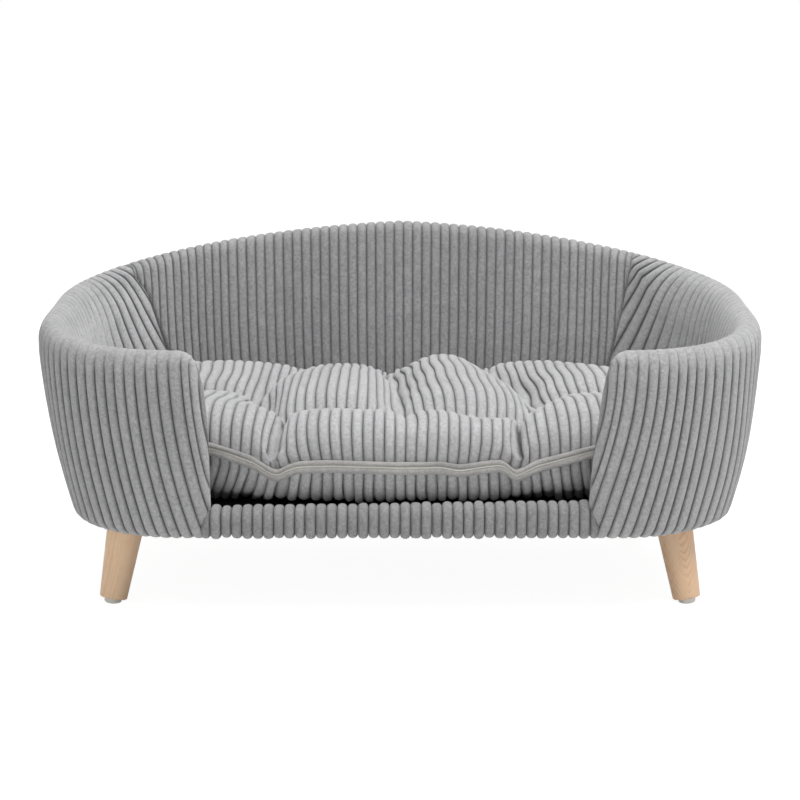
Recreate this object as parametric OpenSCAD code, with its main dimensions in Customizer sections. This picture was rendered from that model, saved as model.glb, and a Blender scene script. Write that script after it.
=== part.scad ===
// Small tub sofa bed for a dog: upholstered shell on four splayed legs with a loose tufted cushion.
// Millimetres. +Z is up, the front faces -Y, the origin is on the floor under the middle.

/* [Shell] */
// Overall width of the shell at the rim
shell_w = 700; // [600:1:900]
// Overall depth of the shell at the rim
shell_d = 404; // [380:1:560]
// Height of the underside of the shell
bottom_z = 78; // [50:1:120]
// Height of the rim at the front wings
front_rim_z = 256; // [225:1:290]
// Height of the rim at the middle of the back
back_rim_z = 336; // [300:1:400]
// How far each side draws in from rim to underside
side_flare = 38; // [10:1:60]
// How far the front draws in from rim to underside
front_flare = 22; // [5:1:35]
// How far the back leans in from rim to underside
back_lean = 26; // [5:1:45]
// Radius of the shell's corners at the rim, seen from above
corner_r = 163; // [140:1:175]
// How much tighter the corners are at the underside
corner_draw = 53; // [20:1:65]
// Radius of the soft edge along the underside
edge_r = 10; // [8:0.5:11]

/* [Wall] */
// Thickness of the padded wall
wall_t = 24; // [22:1:30]
// Thickness of the corduroy cover with its backing
cover_t = 3; // [2:0.1:4]
// Thickness of the bent plywood panels
ply_t = 6.4; // [5:0.1:7]
// Thickness of the upright battens
batten_t = 8; // [6:0.5:9]
// Length of a batten along the wall
batten_l = 26; // [20:1:40]
// How far the plywood stops below the rim
ply_drop = 20; // [16:1:40]
// Clearance between layers
gap = 0.3; // [0.2:0.05:0.4]
// Clearance between the curved walls and the flat sheets
sheet_play = 1; // [0.8:0.1:2]

/* [Opening] */
// Width of the front opening at the rim
opening_top_w = 376; // [350:1:420]
// Width of the front opening at the sill
opening_low_w = 349; // [300:1:352]
// Height of the top of the sill
sill_z = 109; // [108:1:125]
// Thickness of the sill from front to back
sill_t = 26; // [25:0.5:32]
// Radius of the round top of the sill
sill_r = 11; // [6:0.5:12]

/* [Base] */
// Thickness of the base board
board_t = 12; // [10:0.5:13]
// Width of the cover turned under the board
tuck_w = 16; // [13:0.5:17]
// Thickness of the black deck and dust cloths
cloth_t = 0.8; // [0.5:0.1:1.5]

/* [Legs] */
// Distance of the front legs from the sides of the rim
front_leg_side = 88; // [85:1:120]
// Distance of the front legs from the front of the rim
front_leg_in = 98; // [96:1:112]
// Distance of the rear legs from the sides of the rim
rear_leg_side = 110; // [95:1:150]
// Distance of the rear legs from the back of the rim
rear_leg_in = 90; // [86:1:112]
// Diameter of a leg at the board
leg_top_d = 36; // [28:0.5:36]
// Diameter of a leg at the foot
leg_foot_d = 26.5; // [20:0.5:27]
// Radius of the round edge at the foot of a leg
leg_edge_r = 2; // [0.5:0.1:3]
// Outward lean of a leg
splay = 14; // [0:0.5:14]
// Diameter of a glide
glide_d = 16.5; // [14:0.5:19]
// Height of a glide along the leg
glide_h = 5.2; // [4.8:0.1:7]
// Radius of the round edge of a glide
glide_edge_r = 3; // [1:0.1:4]

/* [Fasteners] */
// Diameter of the hanger bolts
bolt_d = 8; // [6:0.5:9]
// Length of a hanger bolt inside the leg
bolt_in_leg = 30; // [20:1:35]
// Diameter of a T-nut's flange
tnut_flange_d = 20; // [18:0.5:26]
// Thickness of a T-nut's flange
tnut_flange_t = 1.2; // [0.8:0.1:2]
// Length of a T-nut's barrel
tnut_barrel_l = 8; // [6:0.5:9]
// Wall of a T-nut's barrel
tnut_wall = 1.2; // [0.8:0.1:2]
// Diameter of the screws of the rail
screw_d = 4; // [3:0.5:5]
// Diameter of a screw head
screw_head_d = 8; // [6:0.5:9]
// Height of a screw head
screw_head_h = 2; // [1:0.1:3]
// Length of a screw above the base board
screw_grip = 8; // [6:0.5:9]
// Diameter of the nails of the plywood panels
nail_d = 2; // [1.5:0.1:3]
// Length of a nail from a panel into the board
nail_l = 20; // [14:1:30]
// Length of a nail from a panel into a batten
batten_nail_l = 10; // [8:0.5:12]
// Depth of a nail's head below the plywood's face
nail_sink = 1; // [0.8:0.1:2]
// Diameter of the nail of a glide
glide_nail_d = 2.4; // [1.5:0.1:3]
// Length of a glide's nail in the leg
glide_nail_l = 16; // [10:1:25]
// Running clearance of a fastener in its hole, on the radius
hole_gap = 0.05; // [0.05:0.05:0.3]

/* [Cushion] */
// Clearance between the cushion and the walls
cushion_gap = 4; // [2:0.5:10]
// Height of the cushion's edging above its underside
edging_rise = 47; // [35:1:55]
// Extra height of the edging beside the wings
edging_lift = 16; // [0:1:20]
// Height of the crown above the edging
crown_h = 53; // [40:1:65]
// Depth of the sewn tufts below the crown
tuft_depth = 30; // [15:1:36]
// Radius over which a tuft draws the cover down
tuft_reach = 50; // [38:1:56]
// Thickness of the cushion's cover
pad_cover_t = 2.5; // [2:0.1:4]
// Width of the edging that stands out round the cushion
edging_w = 6; // [4:0.5:8]
// Height of each of the two edging strips
edging_t = 4.5; // [4:0.5:6]
// Height of the tape between the edging strips
tape_t = 1; // [0.6:0.1:1.6]
// Diameter of a tuft's tie
tie_d = 1.6; // [1:0.1:2.5]

/* [Hidden] */
$fn = 48;

cut = 2;
pi = 3.14159265;

cord_grey = "#8f8f90";
cushion_grey = "#bdbdbe";
birch = "#c9a988";
pale_wood = "#d9b48f";
foam_white = "#e6e2d6";
cloth_black = "#26272b";
steel = "#a9abad";
glide_white = "#dcdcda";
cream = "#d8d3c4";

// Shares of the wall: how the flare bends, where the back seams are, how the rim rises to the back
flare_power = 1.5;
edge_power = 5.5;
run_power = 1.8;
seam_share = 0.636;
rim_rise_shares = [[0, 0], [0.14, 0], [0.28, 0.12], [0.42, 0.23], [0.57, 0.42], [0.68, 0.61],
    [0.80, 0.81], [0.90, 0.93], [1, 1]];
rim_blend_share = 0.05;

// Stack of layers from the underside up, and from the outside of the wall in
board_z = bottom_z + cover_t + gap;
board_top = board_z + board_t;
board_step_z = board_z + board_t / 2;
deck_z = board_top + gap;
panel_foot_z = deck_z + cloth_t + gap;
dust_z = board_z - gap - cloth_t;
leg_z = dust_z - gap;
ply_in = cover_t + gap;
ply_out = ply_in + ply_t;
board_in = ply_out + gap;
foam_out = wall_t - cover_t - gap;

// Half sizes of the shell, seen from above, at height z
function rise(z, top) = min(1, max(0, (z - bottom_z) / (top - bottom_z)));
function flare(z) = pow(1 - rise(z, front_rim_z), flare_power);
function half_w(z) = shell_w / 2 - side_flare * flare(z);
function half_front(z) = shell_d / 2 - front_flare * flare(z);
function half_back(z) = shell_d / 2 - back_lean * (1 - rise(z, back_rim_z));
function corner(z) = corner_r - corner_draw * flare(z);
function arc_len(z) = corner(z) * pi / 2;
function side_len(z) = half_front(z) + half_back(z) - 2 * corner(z);
function spread_x(z, power) = opening_low_w / 2 + (opening_top_w - opening_low_w) / 2
    * pow(min(1, max(0, (z - board_top) / (front_rim_z - board_top))), power);
function edge_x(z) = spread_x(z, run_power);
function wing_x(z) = spread_x(z, edge_power);
function path_len(z) = 2 * (half_w(z) - corner(z)) + 2 * arc_len(z) + side_len(z);

// Point and outward normal at distance d along the right half, from front middle to back middle
function on_path(d, z) = let (r = corner(z), x0 = half_w(z) - r, yf = -half_front(z) + r,
        yb = half_back(z) - r, d1 = x0 + arc_len(z), d2 = d1 + side_len(z), d3 = d2 + arc_len(z))
    d < x0 ? [d, yf - r, 0, -1]
    : d < d1 ? let (a = (d - x0) / r * 180 / pi) [x0 + r * sin(a), yf - r * cos(a), sin(a), -cos(a)]
    : d < d2 ? [x0 + r, yf + d - d1, 1, 0]
    : d < d3 ? let (a = (d - d2) / r * 180 / pi) [x0 + r * cos(a), yb + r * sin(a), cos(a), sin(a)]
    : [x0 - (d - d3), yb + r, 0, 1];

// Stations run along the wall from -1 at the left wing's end through 0 at the middle of the back to
// 1 at the right wing's end. A point of the wall has a station w, a depth o from outside and a height.
// A wing's end reaches on to wing_x, by the batten.
function wall_on(w, z) = on_path(edge_x(z) + (1 - abs(w)) * (path_len(z) - edge_x(z))
    - (edge_x(z) - wing_x(z)) * max(0, 1 - (1 - abs(w)) * wall_len / batten_end), z);
function wall_pt(w, o, z) = let (p = wall_on(w, z), side = w < 0 ? -1 : 1)
    [side * (p[0] - o * p[2]), p[1] - o * p[3], z];
wall_len = path_len(front_rim_z) - edge_x(front_rim_z);
function station(mm) = 1 - mm / wall_len;
seam_w = 1 - seam_share;

function rim_share(u) = (lookup(u - rim_blend_share, rim_rise_shares)
    + 2 * lookup(u, rim_rise_shares) + lookup(u + rim_blend_share, rim_rise_shares)) / 4;
function rim_z(w) = front_rim_z
    + (back_rim_z - front_rim_z) * rim_share(1 - abs(w)) / rim_share(1);

// A point of a wall section has a depth, a share of the wall's height and an extra height
function section_z(p, w) = bottom_z + p[1] * (rim_z(w) - bottom_z) + p[2];

// Sweeps a wall section along falling stations. The section is two chains of points, one for each of
// its sides. All facets are split from their higher corner at one station to their lower corner at
// the next, so that layers lie snugly side by side. squeeze says how much of the thickness is left
// at the first stations, to end a wing round.
module sweep(stations, outer, inner, squeeze = []) {
    n = len(outer);
    m = len(stations);
    mid = wall_t / 2;
    rings = [for (k = [0 : m - 1]) let (w = stations[k], q = k < len(squeeze) ? squeeze[k] : 1)
        [for (i = [0 : 2 * n - 1]) let (p = i < n ? outer[i] : inner[2 * n - 1 - i],
            drop = p[1] == 1 ? (1 - q) * (p[2] + mid) : 0)
            wall_pt(w, mid + (p[0] - mid) * q, section_z(p, w) - drop)]];
    sides = [for (k = [0 : m - 2]) for (i = [0 : 2 * n - 1]) let (j = (i + 1) % (2 * n),
            a = k * 2 * n + i, b = k * 2 * n + j, c = a + 2 * n, d = b + 2 * n)
        each (rings[k][j][2] > rings[k][i][2] ? [[a, b, c], [b, d, c]] : [[a, b, d], [a, d, c]])];
    caps = [for (k = [0, m - 1]) for (i = [0 : n - 2]) let (a = k * 2 * n + i, b = a + 1,
            c = k * 2 * n + 2 * n - 1 - i, d = c - 1)
        each (k == 0 ? [[a, c, b], [b, c, d]] : [[a, b, c], [b, d, c]])];
    polyhedron([for (r = rings) each r], concat(sides, caps));
}
function spread(from, to, steps) = [for (k = [0 : steps]) from + (to - from) * k / steps];

// Section of the wall drawn in by i all round: its outside and its inside, up to the round rim
edge_steps = 3;
wall_steps = 4;
rim_angle = 78;
function arc(o, share, up, r, a0, a1) = [for (a = spread(a0, a1, edge_steps))
    [o + r * cos(a), share, up + r * sin(a)]];
function wall_rise(o) = [for (k = [1 : wall_steps - 1]) [o, k / wall_steps, 0]];
function outside(i) = concat([[wall_t / 2, 0, i]], arc(edge_r, 0, edge_r, edge_r - i, 270, 180),
    wall_rise(i), [[i, 1, -ply_drop]],
    arc(wall_t / 2, 1, -wall_t / 2, wall_t / 2 - i, 180, 180 - rim_angle));
function inside(i) = concat([[wall_t / 2 + i, 0, i]],
    [for (s = spread(0, 1, edge_steps)) [wall_t - i, 0, i + edge_r * s]],
    wall_rise(wall_t - i), [[wall_t - i, 1, -ply_drop]],
    arc(wall_t / 2, 1, -wall_t / 2, wall_t / 2 - i, 0, rim_angle));

// All layers bend at the same stations, so that their flat facets lie side by side. Panels and
// battens start and end at such stations too.
panel_end = wall_t / 2 + cover_t;
batten_end = panel_end + gap + batten_l;
batten_reach = batten_l / 2 / wall_len;
arm_steps = 11;
back_steps = 17;
arm_middle = spread(station(batten_end), seam_w + batten_reach, arm_steps);
function back_run(short) = concat([seam_w - short / wall_len],
    spread(seam_w - batten_reach, batten_reach - seam_w, back_steps), [short / wall_len - seam_w]);

// Solid right arm, drawn in by i, from the round end of the wing to the seam with the back, or
// past it by over
end_angles = [75, 50, 28, 10];
module arm_body(i, over) {
    round_end = [for (a = end_angles) station(i + (wall_t / 2 - i) * (1 - sin(a)))];
    run = concat([station(wall_t / 2), station(panel_end)], arm_middle, [seam_w - over / wall_len]);
    sweep(concat(round_end, run), outside(i), inside(i), [for (a = end_angles) cos(a)]);
}

// Space inside an arm between two chains, over its whole length and a little more
module arm_space(outer, inner) {
    sweep(concat([station(-cut), station(panel_end)], arm_middle, [seam_w - cut / wall_len]),
        outer, inner);
}

// The skin leaves its foot open for the board and the deck cloth, and turns under the board
foot = panel_foot_z - bottom_z;
board_edge = board_in + sheet_play;
module right_arm_skin() {
    reach = wall_t + cut;
    under = cover_t + gap / 2;
    edge = board_edge - gap;
    difference() {
        arm_body(0, -gap / 2);
        arm_body(cover_t, cut);
        arm_space([[tuck_w, 0, -cut], [tuck_w, 0, foot]], [[reach, 0, -cut], [reach, 0, foot]]);
        arm_space([[edge, 0, under], [edge, 0, foot]], [[reach, 0, under], [reach, 0, foot]]);
    }
}

// Upright layer of the wall from low up to high below the rim
function upright(o, low, high) = concat([[o, 0, low]], wall_rise(o), [[o, 1, -high]]);
ply_low = edge_r;
batten_low = board_top + gap - bottom_z;
module right_arm_ply() {
    sweep(concat([station(panel_end)], arm_middle, [seam_w + gap / 2 / wall_len]),
        upright(ply_in, ply_low, ply_drop), upright(ply_out, ply_low, ply_drop));
}

// Upright battens inside the plywood at the wing's end and behind the seam. grow adds clearance when
// they are taken out of the foam.
module batten_strip(stations, grow) {
    sweep(stations, upright(board_in - grow, batten_low, ply_drop - grow),
        upright(board_in + batten_t + grow, batten_low, ply_drop - grow));
}
module front_batten(grow) {
    batten_strip([station(panel_end + gap - grow), station(batten_end + grow)], grow);
}
module back_batten(grow) {
    half = batten_reach + grow / wall_len;
    batten_strip([seam_w + half, seam_w, seam_w - half], grow);
}

module right_arm_padding() {
    reach = wall_t + cut;
    difference() {
        arm_body(cover_t + gap, -gap / 2);
        sweep(concat([station(panel_end - gap)], arm_middle, [seam_w - cut / wall_len]),
            upright(0, 0, ply_drop - gap), upright(board_in, 0, ply_drop - gap));
        front_batten(gap);
        back_batten(gap);
        arm_space([[-cut, 0, -cut], [-cut, 0, foot]], [[reach, 0, -cut], [reach, 0, foot]]);
    }
}

// Back: sections that run from one seam to the other
function rim(i, a0, a1) = arc(wall_t / 2, 1, -wall_t / 2, wall_t / 2 - i, a0, a1);
function skin(i) = concat([[tuck_w, 0, i]], arc(edge_r, 0, edge_r, edge_r - i, 270, 180), wall_rise(i),
    [[i, 1, -ply_drop]], rim(i, 180, 180 - rim_angle), rim(i, rim_angle, 0), [[wall_t - i, 1, -ply_drop]],
    [for (k = [1 : wall_steps - 1]) [wall_t - i, 1 - k / wall_steps, 0]], [[wall_t - i, 0, foot]]);
module back_cover() {
    color(cord_grey) sweep(back_run(gap / 2), skin(0), skin(cover_t));
}
module back_panel() {
    color(birch) sweep(back_run(gap / 2), upright(ply_in, ply_low, ply_drop),
        upright(ply_out, ply_low, ply_drop));
}
module back_foam() {
    i = cover_t + gap;
    color(foam_white) difference() {
        sweep(back_run(gap / 2),
            concat(upright(board_in, foot, ply_drop - gap), [[i, 1, gap - ply_drop]],
                rim(i, 180, 180 - rim_angle)),
            concat(upright(foam_out, foot, ply_drop - gap), [[foam_out, 1, gap - ply_drop]],
                rim(i, 0, rim_angle)));
        back_batten(gap);
        mirror([1, 0, 0]) back_batten(gap);
    }
}

module right_arm_cover() { color(cord_grey) right_arm_skin(); }
module left_arm_cover() { color(cord_grey) mirror([1, 0, 0]) right_arm_skin(); }
module right_arm_panel() { color(birch) right_arm_ply(); }
module left_arm_panel() { color(birch) mirror([1, 0, 0]) right_arm_ply(); }
module right_front_batten() { color(birch) front_batten(0); }
module left_front_batten() { color(birch) mirror([1, 0, 0]) front_batten(0); }
module right_back_batten() { color(birch) back_batten(0); }
module left_back_batten() { color(birch) mirror([1, 0, 0]) back_batten(0); }
module right_arm_foam() { color(foam_white) right_arm_padding(); }
module left_arm_foam() { color(foam_white) mirror([1, 0, 0]) right_arm_padding(); }

// Sill between the wings: section in Y and Z, drawn in by i
sill_y = -half_front(bottom_z);
sill_half = opening_low_w / 2 - gap;
sill_h = sill_z - bottom_z;
module sill_section(i) {
    translate([edge_r, edge_r]) circle(edge_r - i);
    for (y = [sill_r, sill_t - sill_r]) translate([y, sill_h - sill_r]) circle(sill_r - i);
    translate([i, edge_r]) square([sill_t - 2 * i, sill_h - sill_r - edge_r]);
    translate([edge_r, i]) square([sill_t - i - edge_r, edge_r]);
    translate([sill_r, sill_h - sill_r]) square([sill_t - 2 * sill_r, sill_r - i]);
}
module along_sill(half) {
    translate([-half, sill_y, bottom_z]) rotate([90, 0, 90]) linear_extrude(2 * half) children();
}
module sill_cover() {
    color(cord_grey) along_sill(sill_half) difference() {
        sill_section(0);
        sill_section(cover_t);
        translate([tuck_w, -cut]) square([sill_t, cover_t + cut]);
        translate([edge_r, cover_t]) square([sill_t, foot - cover_t]);
    }
}
rail_back = sill_t - cover_t - 2 * gap - (board_in - cover_t) / 2;
rail_top = sill_h - cover_t - gap - (board_in - cover_t) / 2;
module sill_foam() {
    front = -sill_y - half_front(board_step_z) + board_edge - gap;
    color(foam_white) along_sill(sill_half) difference() {
        sill_section(cover_t + gap);
        translate([front, 0]) square([sill_t, foot]);
        translate([board_in - gap, 0]) square([rail_back + 2 * gap - board_in, rail_top + gap]);
    }
}
module front_rail() {
    color(birch) along_sill(sill_half) translate([board_in, batten_low])
        square([rail_back - board_in, rail_top - batten_low]);
}

// Outline of the shell at height z, drawn in by i
module outline(z, i) {
    r = corner(z) - i;
    x = half_w(z) - i - r;
    front = half_front(z) - i;
    back = half_back(z) - i;
    for (sx = [-1, 1]) {
        translate([sx * x, r - front]) circle(r, $fn = 96);
        translate([sx * x, back - r]) circle(r, $fn = 96);
    }
    translate([-x, -front]) square([2 * x, front + back]);
    translate([-x - r, r - front]) square([2 * (x + r), front + back - 2 * r]);
}

front_leg = [shell_w / 2 - front_leg_side, front_leg_in - shell_d / 2];
rear_leg = [shell_w / 2 - rear_leg_side, shell_d / 2 - rear_leg_in];
leg_places = [for (p = [front_leg, rear_leg]) for (side = [-1, 1]) [side * p[0], p[1]]];
tnut_r = bolt_d / 2 + hole_gap + tnut_wall;

// The board's lower half is drawn in for the bend of the cover
module base_board() {
    color(birch) difference() {
        for (z = [board_z, board_step_z]) translate([0, 0, z])
            linear_extrude(board_top - z) outline(z, board_edge);
        for (p = leg_places) translate([p[0], p[1], 0]) {
            translate([0, 0, board_z - cut]) cylinder(h = board_t + 2 * cut, r = tnut_r + hole_gap);
            translate([0, 0, board_top - tnut_flange_t])
                cylinder(h = tnut_flange_t + cut, r = tnut_flange_d / 2 + hole_gap);
        }
    }
}
deck_front = sill_y + sill_t - cover_t + gap;
module deck_cloth() {
    color(cloth_black) translate([0, 0, deck_z]) linear_extrude(cloth_t) intersection() {
        outline(deck_z, foam_out + gap);
        translate([-shell_w / 2, deck_front]) square([shell_w, shell_d]);
    }
}
module dust_cloth() {
    color(cloth_black) difference() {
        translate([0, 0, dust_z]) linear_extrude(cloth_t) outline(bottom_z, tuck_w + sheet_play);
        for (p = leg_places) translate([p[0], p[1], dust_z - cut])
            cylinder(h = cloth_t + 2 * cut, r = tnut_r);
    }
}

// A leg stands at p and leans outwards. Its parts are drawn along its own axis, with the foot's end
// at zero, so that the glide's flat sole is the plane z = 0.
sole_r = glide_d / 2 - glide_edge_r;
sole_z = -sole_r * sin(splay);
foot_z = sole_z + glide_h * cos(splay);
leg_len = (leg_z - foot_z) / cos(splay);
module at_leg(p) {
    side_x = sign(p[0]);
    side_y = sign(p[1]);
    translate([p[0], p[1], leg_z]) rotate(a = splay, v = [side_y, -side_x, 0])
        translate([0, 0, -leg_len]) children();
}
leg_over = leg_top_d / 2 * tan(splay) + cut;
leg_widen = (leg_top_d - leg_foot_d) / 2 / leg_len;
module leg(p) {
    r = leg_foot_d / 2;
    edge = [for (a = spread(-90, 0, edge_steps))
        [r - leg_edge_r + leg_edge_r * cos(a), leg_edge_r + leg_edge_r * sin(a)]];
    color(pale_wood) difference() {
        at_leg(p) rotate_extrude($fn = 64)
            polygon(concat([[0, 0]], edge, [[r + leg_widen * (leg_len + leg_over), leg_len + leg_over],
                [0, leg_len + leg_over]]));
        translate([p[0] - leg_top_d, p[1] - leg_top_d, leg_z])
            cube([2 * leg_top_d, 2 * leg_top_d, leg_top_d]);
        translate([p[0], p[1], leg_z - bolt_in_leg])
            cylinder(h = bolt_in_leg + cut, r = bolt_d / 2 + hole_gap);
        at_leg(p) translate([0, 0, -cut])
            cylinder(h = glide_nail_l + cut, r = glide_nail_d / 2 + hole_gap);
    }
}
glide_pocket = glide_h / 3;
module glide(p) {
    edge = [for (a = spread(0, 90, edge_steps))
        [sole_r + glide_edge_r * cos(a), glide_edge_r - glide_h - glide_edge_r * sin(a)]];
    color(glide_white) difference() {
        at_leg(p) rotate_extrude($fn = 64)
            polygon(concat([[0, 0], [glide_d / 2, 0]], edge, [[0, -glide_h]]));
        translate([p[0] - shell_d / 2, p[1] - shell_d / 2, -shell_d]) cube([shell_d, shell_d, shell_d]);
        at_leg(p) translate([0, 0, -glide_pocket])
            cylinder(h = glide_pocket + cut, r = glide_nail_d / 2 + hole_gap);
    }
}
module front_left_leg() { leg(leg_places[0]); }
module front_right_leg() { leg(leg_places[1]); }
module rear_left_leg() { leg(leg_places[2]); }
module rear_right_leg() { leg(leg_places[3]); }
module front_left_glide() { glide(leg_places[0]); }
module front_right_glide() { glide(leg_places[1]); }
module rear_left_glide() { glide(leg_places[2]); }
module rear_right_glide() { glide(leg_places[3]); }
module glide_nails() {
    color(steel) for (p = leg_places) at_leg(p) translate([0, 0, -glide_pocket])
        cylinder(h = glide_pocket + glide_nail_l, r = glide_nail_d / 2);
}
module hanger_bolts() {
    color(steel) for (p = leg_places) translate([p[0], p[1], leg_z - bolt_in_leg])
        cylinder(h = board_top - leg_z + bolt_in_leg - gap, r = bolt_d / 2);
}
module t_nuts() {
    color(steel) for (p = leg_places) translate([p[0], p[1], board_top]) difference() {
        union() {
            translate([0, 0, -tnut_flange_t]) cylinder(h = tnut_flange_t, r = tnut_flange_d / 2);
            translate([0, 0, -tnut_barrel_l]) cylinder(h = tnut_barrel_l, r = tnut_r);
        }
        translate([0, 0, -tnut_barrel_l - cut])
            cylinder(h = tnut_barrel_l + 2 * cut, r = bolt_d / 2 + hole_gap);
    }
}

// Nails through the plywood into the board's edge and into the battens
nail_z = bottom_z + (edge_r + board_top - bottom_z) / 2;
board_stations = [arm_middle[2], arm_middle[5], arm_middle[8], back_run(0)[4], back_run(0)[7]];
batten_shares = [0.25, 0.5, 0.75];
module nail(w, z, length) {
    p = wall_on(w, z);
    o = ply_in + nail_sink;
    translate([p[0] - o * p[2], p[1] - o * p[3], z]) rotate([0, 90, atan2(-p[3], -p[2])])
        cylinder(h = length, r = nail_d / 2);
}
module panel_nails() {
    color(steel) for (side = [0, 1]) mirror([side, 0, 0]) {
        for (w = board_stations) nail(w, nail_z, nail_l);
        for (w = [station((panel_end + batten_end) / 2), seam_w + batten_reach / 2,
                seam_w - batten_reach / 2])
            for (t = batten_shares) nail(w, bottom_z + t * (rim_z(w) - bottom_z), batten_nail_l);
    }
}

// Screws up through the board into the rail
rail_screw_share = 0.7;
module frame_screws() {
    color(steel) for (x = [-rail_screw_share, 0, rail_screw_share] * sill_half)
        translate([x, sill_y + (board_in + rail_back) / 2, board_z]) {
            cylinder(h = board_t + screw_grip, r = screw_d / 2);
            cylinder(h = screw_head_h, r = screw_head_d / 2);
        }
}

// Cushion: a grid over a rounded outline, in shares from -1 to 1 across and from front to back
pad_z = deck_z + cloth_t + gap;
edging_z = pad_z + edging_rise;
pad_round_share = 0.3;
across_shares = [0, 0.125, 0.25, 0.375, 0.5, 0.625, 0.75, 0.9, 1];
along_shares = [0, 0.25, 0.5, 0.75, 0.93, 1];
nu = 8;
nv = 5;
function mirrored(list, i) = sign(i) * list[abs(i)];
pad_half_w = half_w(edging_z) - wall_t - cushion_gap - edging_w;
pad_front = half_front(edging_z) - wall_t - cushion_gap - edging_w;
pad_back = half_back(edging_z) - wall_t - cushion_gap - edging_w;
function pad_xy(u, v, out) = let (pull_u = sqrt(1 - pad_round_share * v * v),
        pull_v = sqrt(1 - pad_round_share * u * u))
    [(pad_half_w + out) * u * pull_u, ((v < 0 ? pad_front : pad_back) + out) * v * pull_v];

// Eight tufts, in shares of the cushion: three in front, two at the sides, three at the back
tuft_shares = [[-0.375, -0.5], [0, -0.5], [0.375, -0.5], [-0.5, 0], [0.5, 0], [-0.375, 0.75], [0, 0.75],
    [0.375, 0.75]];

// The edging dips where the pleats of the front tufts reach it and rises beside the wings
edge_lift_shares = [[0, 0], [0.375, 0], [0.5, -0.5], [0.625, 0.6], [0.75, 1], [1, 1]];
crown_power = 4;
belly_power = 6;
belly_gain = 1.25;
tuft_power = 1.5;
tuft_ease = 1.5;
function bulge(u, v, p) = sqrt(max(0, (1 - pow(abs(u), p)) * (1 - pow(abs(v), p))));
function edge_lift(u) = edging_lift * lookup(abs(u), edge_lift_shares);
function pad_edge_z(u) = edging_z + edge_lift(u);
function tuft_pull(x, y) = max([for (t = tuft_shares) let (c = pad_xy(t[0], t[1], 0),
        d = norm([x - c[0], y - c[1]])) pow(max(0, 1 - d / tuft_reach), tuft_power)]);
function pad_top(u, v) = let (p = pad_xy(u, v, 0))
    edging_z + edge_lift(u) * (1 - bulge(u, v, crown_power)) + gap / 2 + pad_cover_t
    + crown_h * bulge(u, v, crown_power)
    - tuft_depth * min(1, tuft_ease * bulge(u, v, crown_power)) * tuft_pull(p[0], p[1]);
function pad_belly(u, v) = let (e = pad_edge_z(u) - gap / 2 - pad_cover_t)
    e - (e - pad_z) * min(1, belly_gain * bulge(u, v, belly_power));

// Grid index to point, for the covers' four faces
function pad_at(i, j, f) = let (u = mirrored(across_shares, i), v = mirrored(along_shares, j),
    p = pad_xy(u, v, 0)) [p[0], p[1], f(u, v)];
// Closed solid between two grids of points of equal size, the upper one first
module blanket(upper, lower) {
    rows = len(upper);
    cols = len(upper[0]);
    id = function (k, i, j) (k * rows + i) * cols + j;
    skin_faces = [for (i = [0 : rows - 2]) for (j = [0 : cols - 2])
        each [[id(0, i, j), id(0, i, j + 1), id(0, i + 1, j)],
            [id(0, i + 1, j), id(0, i, j + 1), id(0, i + 1, j + 1)],
            [id(1, i, j), id(1, i + 1, j), id(1, i, j + 1)],
            [id(1, i + 1, j), id(1, i + 1, j + 1), id(1, i, j + 1)]]];
    side = function (i, j, p, q) [[id(0, i, j), id(0, p, q), id(1, i, j)],
        [id(0, p, q), id(1, p, q), id(1, i, j)]];
    rim = concat([for (i = [0 : rows - 2]) each side(i, 0, i + 1, 0)],
        [for (i = [0 : rows - 2]) each side(i + 1, cols - 1, i, cols - 1)],
        [for (j = [0 : cols - 2]) each side(0, j + 1, 0, j)],
        [for (j = [0 : cols - 2]) each side(rows - 1, j, rows - 1, j + 1)]);
    polyhedron([for (g = [upper, lower]) for (row = g) each row], concat(skin_faces, rim));
}
function pad_grid(inset, f) = [for (i = [inset - nu : nu - inset])
    [for (j = [inset - nv : nv - inset]) pad_at(i, j, f)]];
module cushion_top_cover() {
    color(cushion_grey) blanket(pad_grid(0, function (u, v) pad_top(u, v)),
        pad_grid(0, function (u, v) pad_top(u, v) - pad_cover_t));
}
module cushion_bottom_cover() {
    color(cushion_grey) blanket(pad_grid(0, function (u, v) pad_belly(u, v) + pad_cover_t),
        pad_grid(0, function (u, v) pad_belly(u, v)));
}

// Filling between the covers, one grid step short of their seam
module cushion_filling() {
    spare = pad_cover_t + gap;
    color(foam_white) blanket(pad_grid(1, function (u, v) pad_top(u, v) - spare),
        pad_grid(1, function (u, v) pad_belly(u, v) + spare));
}

// Strips round the cushion's seam, from z0 to z1 above it, outside the covers
outline_uv = concat([for (i = [-nu : nu - 1]) [mirrored(across_shares, i), -1]],
    [for (j = [-nv : nv - 1]) [1, mirrored(along_shares, j)]],
    [for (i = [nu : -1 : 1 - nu]) [mirrored(across_shares, i), 1]],
    [for (j = [nv : -1 : 1 - nv]) [-1, mirrored(along_shares, j)]]);
module edging(z0, z1, width) {
    n = len(outline_uv);
    corners = [[gap, z0], [gap + width, z0], [gap + width, z1], [gap, z1]];
    polyhedron([for (t = outline_uv) for (c = corners) let (p = pad_xy(t[0], t[1], c[0]))
            [p[0], p[1], pad_edge_z(t[0]) + c[1]]],
        [for (k = [0 : n - 1]) for (c = [0 : 3]) let (a = 4 * k + c, b = 4 * k + (c + 1) % 4,
            d = 4 * ((k + 1) % n) + c, e = 4 * ((k + 1) % n) + (c + 1) % 4)
            each [[a, b, d], [b, e, d]]]);
}
strip_z = tape_t / 2 + gap;
module upper_edging() { color(cushion_grey) edging(strip_z, strip_z + edging_t, edging_w); }
module lower_edging() { color(cushion_grey) edging(-strip_z - edging_t, -strip_z, edging_w); }
module edging_tape() { color(cream) edging(-tape_t / 2, tape_t / 2, edging_w - tape_t); }
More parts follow.
